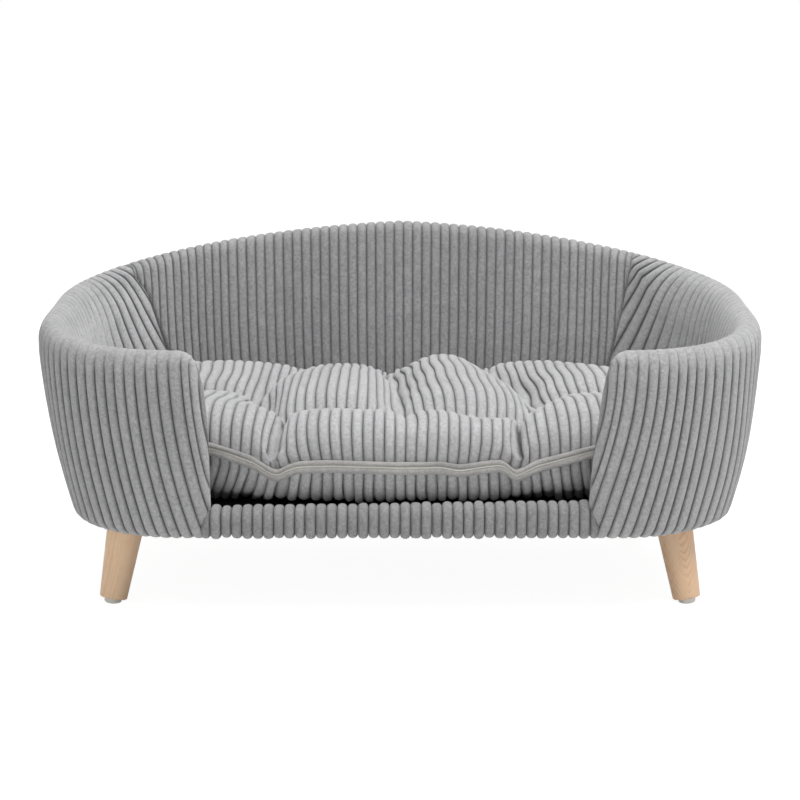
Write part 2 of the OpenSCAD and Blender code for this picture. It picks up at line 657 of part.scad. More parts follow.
module tuft_ties() {
    color(cream) for (t = tuft_shares) {
        p = pad_xy(t[0], t[1], 0);
        foot = pad_belly(t[0], t[1]) + pad_cover_t / 2;
        translate([p[0], p[1], foot])
            cylinder(h = pad_top(t[0], t[1]) - pad_cover_t / 2 - foot, r = tie_d / 2);
    }
}

base_board();
left_arm_panel();
right_arm_panel();
back_panel();
left_front_batten();
right_front_batten();
left_back_batten();
right_back_batten();
front_rail();
left_arm_foam();
right_arm_foam();
back_foam();
sill_foam();
left_arm_cover();
right_arm_cover();
back_cover();
sill_cover();
deck_cloth();
dust_cloth();
front_left_leg();
front_right_leg();
rear_left_leg();
rear_right_leg();
front_left_glide();
front_right_glide();
rear_left_glide();
rear_right_glide();
glide_nails();
hanger_bolts();
t_nuts();
panel_nails();
frame_screws();
cushion_top_cover();
cushion_bottom_cover();
cushion_filling();
upper_edging();
lower_edging();
edging_tape();
tuft_ties();
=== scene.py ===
"""Looks of the tub sofa bed for a dog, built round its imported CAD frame. Lengths are in millimetres
until a mesh is made, and the frame is the CAD's: +Z up, the open front faces -Y."""
import math

import bmesh
import bpy
import numpy as np
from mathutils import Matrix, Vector


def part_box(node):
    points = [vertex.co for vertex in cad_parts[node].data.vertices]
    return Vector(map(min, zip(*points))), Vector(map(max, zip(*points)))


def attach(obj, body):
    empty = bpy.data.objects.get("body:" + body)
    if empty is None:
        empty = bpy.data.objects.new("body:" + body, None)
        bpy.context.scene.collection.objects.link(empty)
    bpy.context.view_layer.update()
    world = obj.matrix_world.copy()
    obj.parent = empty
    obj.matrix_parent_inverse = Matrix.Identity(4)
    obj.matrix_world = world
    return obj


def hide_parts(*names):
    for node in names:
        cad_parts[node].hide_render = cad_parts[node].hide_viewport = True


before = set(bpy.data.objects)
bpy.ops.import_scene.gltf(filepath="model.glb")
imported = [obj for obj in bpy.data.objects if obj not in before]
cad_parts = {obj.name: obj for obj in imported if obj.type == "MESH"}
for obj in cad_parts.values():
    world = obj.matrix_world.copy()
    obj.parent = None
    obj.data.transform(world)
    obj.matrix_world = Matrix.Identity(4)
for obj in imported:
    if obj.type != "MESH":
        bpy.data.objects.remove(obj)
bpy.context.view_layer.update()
rng = np.random.default_rng(11)
MM = 0.001

# ------------------------ sizes shared with the CAD model
SHELL_W, SHELL_D = 700.0, 404.0
BOTTOM, FRONT_RIM, BACK_RIM = 78.0, 256.0, 336.0
WALL, TUCK, EDGE_R = 24.0, 16.0, 10.0
OPEN_TOP, OPEN_LOW, BOARD_TOP = 376.0, 349.0, 93.3
FOOT = 94.9
SILL_Z, SILL_T, SILL_R = 109.0, 26.0, 11.0
DECK_Z, DUST_Z = 93.6, 80.2
# what the outline loses from the rim to the bottom: at each side, in front, behind and off its corners
FLARE_W, FLARE_F, FLARE_B, FLARE_R = 38, 22, 26, 53
CORNER = 163
# pinch of a wing's lower corner, and how far along the rim its end is drawn on
PINCH, END_L = 4.5, 41.3
# rise of the rim by share of its length from front to back, and the weights that even it out
RISE_U = [0, 0.14, 0.28, 0.42, 0.57, 0.68, 0.80, 0.90, 1]
RISE_Z = [0, 0, 0.12, 0.23, 0.42, 0.61, 0.81, 0.93, 1]
RISE_EVEN = ((-0.06, 1), (-0.03, 2), (0, 3), (0.03, 2), (0.06, 1))


def smooth(x):
    x = np.clip(x, 0, 1)
    return x * x * (3 - 2 * x)


def plan(z):
    """Half sizes and corner radius of the shell's outline at height z."""
    f = np.clip(1 - (z - BOTTOM) / (FRONT_RIM - BOTTOM), 0, 1) ** 1.5
    half_w = SHELL_W / 2 - FLARE_W * f
    front = SHELL_D / 2 - FLARE_F * f
    back = SHELL_D / 2 - FLARE_B * (1 - np.clip((z - BOTTOM) / (BACK_RIM - BOTTOM), 0, 1))
    return half_w, front, back, CORNER - FLARE_R * f


def opened(z, power):
    """Widening of one half of the opening from the board up to height z."""
    share = np.clip((z - BOARD_TOP) / (FRONT_RIM - BOARD_TOP), 0, 1)
    return (OPEN_TOP - OPEN_LOW) / 2 * share ** power


def pinch(z):
    return PINCH * smooth((108 - z) / 17)


def edge_x(z):
    """Half width of the opening at height z."""
    return OPEN_LOW / 2 + pinch(z) + opened(z, 1.8)


def wing_x(z):
    """Where a wing's end reaches to at height z, with its round upper corner and the pinched lower one."""
    return OPEN_LOW / 2 + opened(z, 5.5) + pinch(z)


def path_len(z):
    """Length of the outline's right half at height z."""
    w, f, b, r = plan(z)
    return 2 * (w - r) + math.pi * r + f + b - 2 * r


WALL_LEN = float(path_len(FRONT_RIM) - edge_x(FRONT_RIM))


def place(s, z):
    """Distance along the outline at height z of rim distance s, drawn on to the wing's end."""
    drawn = (edge_x(z) - wing_x(z)) * np.clip(1 - s / END_L, 0, 1)
    return edge_x(z) + s / WALL_LEN * (path_len(z) - edge_x(z)) - drawn


def from_place(d, z):
    """Rim distance of a place along the outline: place() turned round."""
    k = (path_len(z) - edge_x(z)) / WALL_LEN
    near = (d - wing_x(z)) / (k + (edge_x(z) - wing_x(z)) / END_L)
    return np.where(near < END_L, near, (d - edge_x(z)) / k)


def on_path(d, z):
    """Point and outward normal at distance d along the right half of the outline, front to back."""
    w, f, b, r = plan(z)
    x0, yf, yb = w - r, r - f, b - r
    d1 = x0 + r * math.pi / 2
    d2 = d1 + f + b - 2 * r
    d3 = d2 + r * math.pi / 2
    a1 = (d - x0) / r
    a2 = (d - d2) / r
    conds = [d < x0, d < d1, d < d2, d < d3]
    x = np.select(conds, [d, x0 + r * np.sin(a1), x0 + r, x0 + r * np.cos(a2)], x0 - (d - d3))
    y = np.select(conds, [yf - r, yf - r * np.cos(a1), yf + d - d1, yb + r * np.sin(a2)], yb + r)
    nx = np.select(conds, [0 * d, np.sin(a1), 1 + 0 * d, np.cos(a2)], 0)
    ny = np.select(conds, [-1 + 0 * d, -np.cos(a1), 0 * d, np.sin(a2)], 1)
    return x, y, nx, ny


def rim_z(s):
    """Height of the rim at s millimetres from a wing's end, measured along the rim."""
    u = np.clip(s / WALL_LEN, 0, 1)
    rise = lambda v: sum(k * np.interp(v + e, RISE_U, RISE_Z) for e, k in RISE_EVEN)
    return FRONT_RIM + (BACK_RIM - FRONT_RIM) * rise(u) / rise(1)


def rim_slope(s):
    return (rim_z(s + 3) - rim_z(s - 3)) / 6


def wall(s, o, z):
    """Point of the right wall at rim distance s from the wing's end, o in from its outside."""
    x, y, nx, ny = on_path(place(s, z), z)
    return np.stack([x - o * nx, y - o * ny, z + 0 * x], -1)


# ------------------------ mesh helpers
def arc(x, z, r, start, end, n):
    """Points of an arc round x, z between two angles in degrees."""
    angles = [math.radians(a) for a in np.linspace(start, end, n)]
    return [(x + r * math.cos(a), z + r * math.sin(a)) for a in angles]


def put(name, data):
    """New object in the scene."""
    ob = bpy.data.objects.new(name, data)
    bpy.context.scene.collection.objects.link(ob)
    return ob


def new_mesh(name, verts, faces, body, slot, mat, smooth_shade=True):
    """Mesh object from points in millimetres, riding on a body and with its material. slot is not used."""
    me = bpy.data.meshes.new(name)
    me.from_pydata([tuple(v) for v in (np.asarray(verts) * MM)], [], faces)
    me.validate()
    me.update()
    me.polygons.foreach_set("use_smooth", [smooth_shade] * len(me.polygons))
    me.materials.append(mat)
    ob = put(name, me)
    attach(ob, body)
    return ob


def grid_faces(rows, cols, close_cols=False, flip=False):
    """Faces of a grid of points; close_cols joins the last column to the first."""
    across = np.arange(cols if close_cols else cols - 1)
    i, j = np.meshgrid(np.arange(rows - 1), across, indexing="ij")
    j2 = (j + 1) % cols
    q = np.stack([i * cols + j, i * cols + j2, (i + 1) * cols + j2, (i + 1) * cols + j], -1)
    q = q.reshape(-1, 4)
    return (q[:, ::-1] if flip else q).tolist()


def unit(n):
    return n / np.maximum(np.linalg.norm(n, axis=-1, keepdims=True), 1e-9)


def grid_normals(p):
    return unit(np.cross(np.gradient(p, axis=1), np.gradient(p, axis=0)))


def blur(n):
    """Evens the rows of a grid out in place, apart from the first and last."""
    n[1:-1] = (n[:-2] + 2 * n[1:-1] + n[2:]) / 4


def set_attr(ob, name, values):
    a = ob.data.attributes.new(name, "FLOAT", "POINT")
    a.data.foreach_set("value", np.asarray(values, np.float32).ravel())


def weld(ob, dist=0.02):
    """Joins points that lie together and drops the faces that this empties."""
    bm = bmesh.new()
    bm.from_mesh(ob.data)
    bmesh.ops.remove_doubles(bm, verts=bm.verts, dist=dist * MM)
    bmesh.ops.dissolve_degenerate(bm, edges=bm.edges, dist=dist * MM * 0.5)
    bm.to_mesh(ob.data)
    bm.free()


def ribbed(name, p, rib, tone_and_shading, fabric, flip=False):
    """Ribbed cover from its grid of points, with the painted shade across a rib, and its tone from rib to
    rib with painted light and shade by place.
    """
    ob = new_mesh(name, p.reshape(-1, 3), grid_faces(*p.shape[:2], flip=flip), *fabric)
    set_attr(ob, "rib", np.clip(rib, 0, 1))
    set_attr(ob, "tone_and_shading", np.clip(tone_and_shading, -2, 2))
    weld(ob)
    return ob


def walk(pts):
    """Length of the closed line through pts, and its points at distances along it."""
    closed = np.vstack([pts, pts[:1]])
    t = np.concatenate([[0], np.cumsum(np.linalg.norm(np.diff(closed, axis=0), axis=1))])
    return t[-1], lambda at: np.stack([np.interp(at, t, closed[:, i]) for i in (0, 1)], 1)


# ------------------------ ribs
# columns of points across one rib, closer together towards its grooves
RIB_X = np.array([-1, -0.93, -0.8, -0.55, -0.2, 0.2, 0.55, 0.8, 0.93])
# widths of an arm's ribs along its rim, from the narrow ones at the wing's end to the wider ones round
# the side, and its grooves
ARM_WIDTHS = [10.8] * 6 + [11.6, 12.2, 12.8, 13.2] + [13.0] * 6 + [12.2] * 4 + [11.4] * 24
ARM_GROOVES = np.concatenate([[-30, -18, -7, 1, 8, 20], 20 + np.cumsum(ARM_WIDTHS)])


def even_grooves(lo, hi, pitch, start):
    """Grooves a pitch apart that cover lo to hi, one of them at start."""
    first, last = math.floor((lo - start) / pitch), math.ceil((hi - start) / pitch)
    return start + np.arange(first, last + 1) * pitch


def rib_columns(lo, hi, grooves):
    """Places across the ribs between lo and hi, with each one's place in its rib from -1 to 1 and
    its rib's number."""
    a, b = grooves[:-1, None], grooves[1:, None]
    c = (a + (RIB_X + 1) / 2 * (b - a)).ravel()
    x = np.tile(RIB_X, len(a))
    k = np.repeat(np.arange(len(a)), len(RIB_X))
    inside = (c >= lo) & (c <= hi)
    return c[inside], x[inside], k[inside]


def rib_groove_shade(x):
    """Painted shade across a rib: the flanks darken towards the groove."""
    return 1 - np.abs(x) ** 3.6


def rib_height(x, power=2.4):
    """Height of a rib across its width: 1 on its crest and 0 in the groove."""
    return (1 - np.abs(x) ** power) ** 0.55


def per_rib(k, seed, amount):
    """A random value for each rib number in k."""
    table = np.random.default_rng(seed).normal(0, amount, 400)
    return table[(k + 200) % 400]


def wobble(a, b, seed, scale):
    """Slow smooth noise from a few sines, about -1 to 1."""
    r = np.random.default_rng(seed)
    out = 0
    for _ in range(5):
        fx, fy, ph = r.normal(0, 1 / scale, 1), r.normal(0, 1 / scale, 1), r.uniform(0, 6.28)
        out = out + np.sin(a * fx + b * fy + ph)
    return out / 3.0


# ------------------------ materials
def blank(owner):
    """Emptied node tree of a material or world."""
    owner.use_nodes = True
    owner.node_tree.nodes.clear()
    return owner.node_tree


def nodes_of(name, looks):
    """New material, its nodes, its shader with the looks set, and the object's own coordinates."""
    m = bpy.data.materials.new(name)
    nt = blank(m)
    b = add(nt, "ShaderNodeBsdfPrincipled", looks)
    add(nt, "ShaderNodeOutputMaterial", {0: b.outputs[0]})
    return m, nt, b, add(nt, "ShaderNodeTexCoord").outputs["Object"]


def add(nt, kind, inputs=(), **props):
    """New node with its properties, and its inputs as links from other nodes or as values."""
    n = nt.nodes.new(kind)
    for k, v in props.items():
        setattr(n, k, v)
    for k, v in dict(inputs).items():
        if hasattr(v, "is_output"):
            nt.links.new(v, n.inputs[k])
        else:
            n.inputs[k].default_value = v
    return n


def srgb(r, g, b):
    f = lambda c: c / 12.92 if c <= 0.04045 else ((c + 0.055) / 1.055) ** 2.4
    return tuple(f(v / 255) for v in (r, g, b)) + (1.0,)


def mix(nt, fac, a, b, blend="MIX"):
    inputs = {0: fac, 6: a, 7: b}
    return add(nt, "ShaderNodeMix", inputs, data_type="RGBA", blend_type=blend).outputs[2]


def times(nt, colour, tint):
    return mix(nt, 1.0, colour, tint, "MULTIPLY")


def calc(nt, kind, x, y=0.0, node="ShaderNodeMath"):
    return add(nt, node, {0: x, 1: y}, operation=kind).outputs[0]


def ramp(nt, fac, lo, hi, a=0.0, b=1.0):
    return add(nt, "ShaderNodeMapRange", {0: fac, 1: lo, 2: hi, 3: a, 4: b}, clamp=True).outputs[0]


def noise(nt, vec, scale, detail=2.0, rough=0.5, dist=0.0):
    inputs = {"Vector": vec, "Scale": scale, "Detail": detail, "Roughness": rough, "Distortion": dist}
    return add(nt, "ShaderNodeTexNoise", inputs).outputs[0]


def bumped(nt, b, height, strength, distance):
    inputs = {"Strength": strength, "Distance": distance, "Height": height}
    nt.links.new(add(nt, "ShaderNodeBump", inputs).outputs[0], b.inputs["Normal"])


def plush(name, crest, groove, blotch=0.10, fuzzy=0.36):
    """Wide-wale plush: grooves darker than crests with painted shade, pile that lies this way and that,
    short fuzz, and painted light and shade by place.
    """
    m, nt, b, co = nodes_of(name, {"Roughness": 0.96, "Specular IOR Level": 0.1, "Sheen Weight": 0.5,
                                   "Sheen Roughness": 0.5, "Sheen Tint": (1, 1, 1, 1)})
    rib = add(nt, "ShaderNodeAttribute", attribute_name="rib").outputs["Fac"]
    tone_and_shading = add(nt, "ShaderNodeAttribute", attribute_name="tone_and_shading").outputs["Fac"]
    # painted shade: the grooves take the darker colour
    base = mix(nt, ramp(nt, rib, 0.0, 0.95), groove, crest)
    darker = lambda colour, share: times(nt, colour, (share, share, share, 1))
    pile = ramp(nt, noise(nt, co, 80, 4, 0.62, 0.4), 0.38, 0.64)
    base = mix(nt, pile, base, darker(base, 1 - blotch))
    tufts = ramp(nt, noise(nt, co, 330, 4, 0.78), 0.38, 0.60)
    base = mix(nt, tufts, darker(base, 1 - fuzzy * 0.75), base)
    fuzz = ramp(nt, noise(nt, co, 1100, 3, 0.75), 0.32, 0.68)
    base = mix(nt, fuzz, darker(base, 1 - fuzzy), base)
    # the tone attribute lightens or darkens the colour: random tone from rib to rib, and painted light and
    # shade by place
    shade = ramp(nt, tone_and_shading, -2.0, 2.0, 0.60, 1.40)
    grey = add(nt, "ShaderNodeCombineColor", {0: shade, 1: shade, 2: shade}).outputs[0]
    nt.links.new(times(nt, base, grey), b.inputs["Base Color"])
    height = calc(nt, "ADD", noise(nt, co, 1400, 3, 0.75), noise(nt, co, 420, 4, 0.72))
    bumped(nt, b, height, 0.85, 0.0011)
    return m


def spun(name, colour):
    """Black spun cloth with its dimpled bond points."""
    m, nt, b, co = nodes_of(name, {"Roughness": 0.85})
    n1 = ramp(nt, noise(nt, co, 700, 2, 0.6), 0.35, 0.7)
    base = mix(nt, n1, colour, tuple(min(1, c * 1.9) for c in colour[:3]) + (1,))
    nt.links.new(base, b.inputs["Base Color"])
    vor = add(nt, "ShaderNodeTexVoronoi", {"Vector": co, "Scale": 520.0})
    bumped(nt, b, vor.outputs["Distance"], 0.35, 0.0004)
    return m


def wood(name, light, dark, place, lean, arch, line=0.0032):
    """Turned or sawn wood: grain along the piece's own axis, set by its place and lean, in lines a few
    millimetres apart, with fine pores. arch turns the straight grain into plain-sawn arches."""
    m, nt, b, co = nodes_of(name, {"Specular IOR Level": 0.35})
    inputs = {"Vector": co, "Location": place, "Rotation": lean}
    own = add(nt, "ShaderNodeMapping", inputs, vector_type="TEXTURE").outputs[0]
    stretch = lambda k: calc(nt, "MULTIPLY", own, (1, 1, k), "ShaderNodeVectorMath")
    long = stretch(0.12)
    xyz = add(nt, "ShaderNodeSeparateXYZ", {0: own}).outputs
    plus = lambda x, y: calc(nt, "ADD", x, y)
    by = lambda x, y: calc(nt, "MULTIPLY", x, y)
    across = plus(xyz[0], by(xyz[1], 0.35))
    arches = by(calc(nt, "SUBTRACT", xyz[2], by(by(across, across), 230.0)), 0.42)
    grain = plus(by(across, 1 - arch), by(arches, arch))
    grain = plus(grain, by(noise(nt, long, 90, 4, 0.6), 0.012))
    wave = calc(nt, "SINE", by(grain, 6.283 / line))
    strength = ramp(nt, noise(nt, long, 60, 2, 0.5), 0.35, 0.68, 0.06, 0.45 + 0.35 * arch)
    rings = by(ramp(nt, wave, -0.2, 1.0), strength)
    fine = noise(nt, stretch(0.05), 1300, 3, 0.65)
    base = mix(nt, rings, light, dark)
    base = mix(nt, ramp(nt, fine, 0.40, 0.66, 0.0, 0.22), base, times(nt, base, (0.76, 0.68, 0.60, 1)))
    cloud = noise(nt, own, 55, 3, 0.55)
    base = mix(nt, ramp(nt, cloud, 0.35, 0.7, 0.0, 0.5), base, times(nt, base, (1.05, 0.95, 0.87, 1)))
    nt.links.new(base, b.inputs["Base Color"])
    nt.links.new(ramp(nt, fine, 0.3, 0.7, 0.42, 0.56), b.inputs["Roughness"])
    bumped(nt, b, fine, 0.2, 0.0003)
    return m


def simple(name, colour, rough, metal=0.0, grain=400, depth=0.0002, vary=0.08):
    """Plain stuff with slightly uneven colour, roughness and surface."""
    m, nt, b, co = nodes_of(name, {"Metallic": metal})
    n = noise(nt, co, grain, 3, 0.6)
    base = mix(nt, ramp(nt, n, 0.3, 0.7), colour, tuple(c * (1 - vary) for c in colour[:3]) + (1,))
    nt.links.new(base, b.inputs["Base Color"])
    uneven = ramp(nt, noise(nt, co, grain * 0.3, 2), 0.3, 0.7, rough - 0.05, rough + 0.06)
    nt.links.new(uneven, b.inputs["Roughness"])
    bumped(nt, b, n, 0.25, depth)
    return m


# the second colour of each plush is painted shade for its grooves
M_SHELL = plush("plush_mid_grey", srgb(199, 199, 200), srgb(78, 78, 80))
M_PAD = plush("plush_light_grey", srgb(214, 214, 215), srgb(112, 112, 114), blotch=0.07, fuzzy=0.30)
M_EDGE = plush("plush_edging", srgb(184, 182, 179), srgb(140, 139, 137), blotch=0.10, fuzzy=0.25)
M_CREAM = simple("cream_tape", srgb(222, 219, 210), 0.8, grain=900, depth=0.0003, vary=0.12)
M_THREAD = simple("grey_thread", srgb(190, 190, 188), 0.75, grain=2000)
M_BLACK = spun("black_spun_cloth", srgb(22, 22, 24))
M_PLASTIC = simple("pale_moulded_plastic", srgb(222, 222, 220), 0.42, grain=250, vary=0.04)
M_STEEL = simple("zinc_steel", srgb(176, 178, 180), 0.35, metal=1.0, grain=600)
M_BIRCH = wood("birch_ply", srgb(214, 186, 146), srgb(176, 140, 98), (0, 0, 0), (0, 0, 0), 0.0)

SHELL_FABRIC, PAD_FABRIC = ("shell", "grey_corduroy", M_SHELL), ("cushion", "pale_corduroy", M_PAD)

# ------------------------ wall section
RIM_ROWS = 15


def section():
    """Rows up the outside, over the rim and down the inside: depth, share of height, extra height
    and a code for the part of the section: 0 outside, 1 on the rim and 2 inside."""
    half = WALL / 2
    pts = [(TUCK, 0, 0.0, 0), (TUCK - 3, 0, -0.2, 0)]
    pts += [(o, 0, up, 0) for o, up in arc(EDGE_R, EDGE_R, EDGE_R, 270, 180, 5)]
    pts += [(0, t, EDGE_R * (1 - t) - half * t, 0) for t in np.linspace(0, 1, 26)[1:-1]]
    pts += [(o, 1, up, 1) for o, up in arc(half, -half, half, 180, 0, RIM_ROWS)]
    pts += [(WALL, t, -half * t + (FOOT - BOTTOM) * (1 - t), 2) for t in np.linspace(1, 0, 22)[1:]]
    return [np.array(v, float)[:, None] for v in zip(*pts)]


# distance of the back's seams from the middle of the back, by depth below the rim inside
SEAM_DEEP = [0, 8, 22, 57, 84, 150]
SEAM_D = {-1: [311, 301, 290, 277.5, 268, 248], 1: [260, 258.3, 255.4, 248, 242.4, 228.5]}
# how the arms differ: slide of the ribs inside for each millimetre of depth, share of their grooves
# that fades, how far the lower side stands out, and how much painted light makes the inside lighter
ARMS = {-1: {"name": "left", "slide": 0.62, "still": 0.84, "out": 2.0, "light": 1.9},
        1: {"name": "right", "slide": 0.72, "still": 0.50, "out": 6.0, "light": 0.4}}
# the rolled rim round the side: drops of its outer and inner quarter, and its growth inwards
ROLL_FALL, ROLL_SINK, ROLL_WIDE = 11, 34, 9
# covers run on past a seam by this much, turned in
SEAM_IN = 2.5


def sweep(side, off, deep):
    """How far the ribs of an arm's inside have slid towards the seam, off before it at the rim."""
    share = np.interp(off, [-10, 40, 110, 190], [1, 0.9, 0.35, 0.1])
    return (ARMS[side]["slide"] * deep + 12 * (1 - np.exp(-deep / 14))) * share


def seam_d(side, deep):
    return sum(np.interp(deep + e, SEAM_DEEP, SEAM_D[side]) for e in (-5, 0, 5)) / 3


def arm(side):
    """Cover of one arm: ribs run up the outside, over the rim and down the inside. Outside they slide
    towards the wing's end on their way down and run out at it; inside they slide towards the back."""
    own = ARMS[side]
    P_o, P_t, P_up, code = section()
    half = WALL / 2
    # rows counted from the rim's first, and the angle round the rim, from pi outside to 0 inside
    row = np.arange(len(P_o)) - int(np.argmax(code[:, 0] == 1))
    a = np.radians(np.linspace(180, 0, RIM_ROWS))[np.clip(row, 0, RIM_ROWS - 1)][:, None]
    within = (code == 2) | ((code == 1) & (a < math.pi / 2 - 0.01))
    s_rim = WALL_LEN - float(seam_d(side, 0))
    c, x, k = rib_columns(-26.0, s_rim + 30, ARM_GROOVES)
    x = x[None, :]
    c = c[None, :] + 0 * P_o

    def roll(t, limit):
        """How the padding widens the rim round the side: growth of the section's rows inwards and
        upwards, and the drops of its outer and inner quarter."""
        meet, round_side = smooth((limit - t) / 60), smooth((t - 95) / 50)
        fall, sink = ROLL_FALL * smooth((t - 8) / 45) * meet, ROLL_SINK * round_side * meet
        inner = np.where(code == 2, -sink * P_t, sink * (np.sin(a) - 1))
        outer = np.where(code == 1, fall * (np.sin(a) - 1), -fall * P_t)
        grow = ROLL_WIDE * round_side * meet
        grow = grow * np.where(code == 2, smooth((P_t - 0.3) / 0.5), np.cos(a))
        return np.where(within, grow, 0), np.where(within, inner, outer), fall, sink

    # places t of the ribs along the rim, the seam's limit for them and the rim's height R over them
    t, limit = c, s_rim
    R = rim_z(np.clip(c, 0, s_rim))
    for _ in range(3):
        z = BOTTOM + P_t * (R - BOTTOM) + P_up + roll(t, limit)[1]
        h = np.clip(FRONT_RIM - z, 0, None)
        outer = from_place(OPEN_TOP / 2 + c - 0.0009 * h * h, z)
        outer = np.where(c > 142, c + (outer - c) * np.clip(1 - (c - 142) / 200, 0.2, 1), outer)
        deep = np.clip(R - z, 0, None) * within
        inner = c + sweep(side, s_rim - c, deep)
        t = np.where(within, inner, np.where(a > math.pi / 2 + 0.01, outer, c))
        limit = WALL_LEN - seam_d(side, np.clip(R - half - z, 0, None) * within)
        R = rim_z(np.clip(t, 0, s_rim))

    # the smooth surface: q closes the section round the wing's end
    s = np.clip(t, 0, limit + SEAM_IN)
    q = np.sqrt(np.clip(1 - (1 - np.clip(s / half, 0, 1)) ** 2, 0, 1))
    R = rim_z(s)
    grow_o, grow_up, fall, sink = roll(s, limit)
    z = BOTTOM + P_t * (R - BOTTOM) + P_up + grow_up - np.where(P_t >= 1, (1 - q) * (P_up + half), 0)
    o = half + (P_o + grow_o - half) * q
    puff = 1.2 * np.sin(np.clip((z - BOTTOM) / (R - BOTTOM), 0, 1) * math.pi) * (code == 0) * q
    p = wall(s, o - puff, z)

    # directions outwards: from the section's run up the column, and from the wall's run along it
    _, _, nx, ny = on_path(place(s, z), z)
    slope = np.where(code == 1, rim_slope(s), P_t * rim_slope(s))
    level = np.stack([-ny, nx, 0 * nx], -1)
    along = level + np.array([0, 0, 1.0]) * slope[..., None]
    flat = np.cos(a) / np.where(within, half + sink * ROLL_WIDE / ROLL_SINK, half)
    steep = np.sin(a) / np.where(within, half + sink, half + fall)
    turn = np.where(code == 1, -flat / np.hypot(flat, steep), np.where(code == 2, -1.0, 1.0))
    rise = np.sqrt(np.clip(1 - turn ** 2, 0, 1)) * (code == 1)
    cq = np.clip(1 - s / half, 0, 1)
    n = np.stack([nx, ny, 0 * nx], -1) * (turn * q)[..., None] - level * cq[..., None]
    n[..., 2] += rise * (0.35 + 0.65 * q)
    n -= along * (rise * slope * 0.8)[..., None]
    low = np.clip((EDGE_R - (z - BOTTOM)) / EDGE_R, 0, 1) * (code == 0)
    n[..., 2] -= low * 1.2
    n[..., 2] -= np.where(code == 0, 0.2, 0.0) * (1 - low) * q
    n = unit(n)
    for _ in range(3):
        blur(n)
    n = unit(n)

    # the rim is stretched, so its grooves open up and fade, and so do those deeper inside
    over_rim = smooth((np.clip(row + 2.0, 0, RIM_ROWS - 1)[:, None] - 0.5) / 6.0) * (code == 1)
    on_rim = over_rim * (1 - 0.5 * smooth((a < 1.2) * (1.2 - a) / 0.8))
    soft = np.where(code == 1, on_rim, 0.4 * smooth((z - R + 32) / 18) * (code == 0))
    deeper = smooth((R - z - 6) / 50) * within
    calm = smooth((s_rim - s - 25) / 60.0)
    depth = 3.1 * (1 + per_rib(k, 5 + side, 0.06))[None, :]
    depth = depth * (1 - 0.75 * soft * calm) * (1 - own["still"] * deeper * calm)
    # the ribs end at the seam and run out at the wing's end
    seam_fade = smooth((limit - t) / 2.4)
    past = np.clip(t - limit, 0, SEAM_IN)
    end_fade = np.where(t < 3, smooth((t + 3.5) / 6.5), 1.0)
    lift = 0.8 + 0.35 * wobble(c, z * 0.5, 31 + side, 60)
    disp = (lift - depth * (1 - (rib_height(x) + 0 * c))) * seam_fade * end_fade
    disp = disp - (1 - seam_fade) * 0.9 - past * 1.1 + (1 - end_fade) * 0.3
    p = p + n * disp[..., None]
    # the outside's lower part stands out, and the right wing's end too
    p[..., 0] += own["out"] * smooth((235 - z) / 120) * smooth((s - 110) / 70) * (code == 0)
    if side > 0:
        p[..., 0] += own["out"] * smooth((z - 110) / 110) * smooth(1 - s / 110)
    p[..., 0] *= side

    faded = (1 - 0.78 * soft * calm) * (1 - (own["still"] + 0.07) * deeper * calm)
    shown = 1 - (1 - rib_groove_shade(x)) * faded
    # random tone from rib to rib, and painted light: the rim and the outside's top band are made lighter,
    # and so is the inside of an arm, the left one most
    tone_and_shading = per_rib(k, 9 + side, 0.12)[None, :] + 0.16 * wobble(c, z, 3 + side, 45) + 0.35 * soft
    tone_and_shading = tone_and_shading + own["light"] * smooth((R - z - 6) / 30) * within * smooth((s - 40) / 60)
    name = own["name"]
    ob = ribbed(f"arm_upholstery_{name}", p, shown * seam_fade + (1 - seam_fade) * 0.35, tone_and_shading,
                SHELL_FABRIC, flip=side > 0)
    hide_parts(f"{name}_arm_cover", f"{name}_arm_foam")


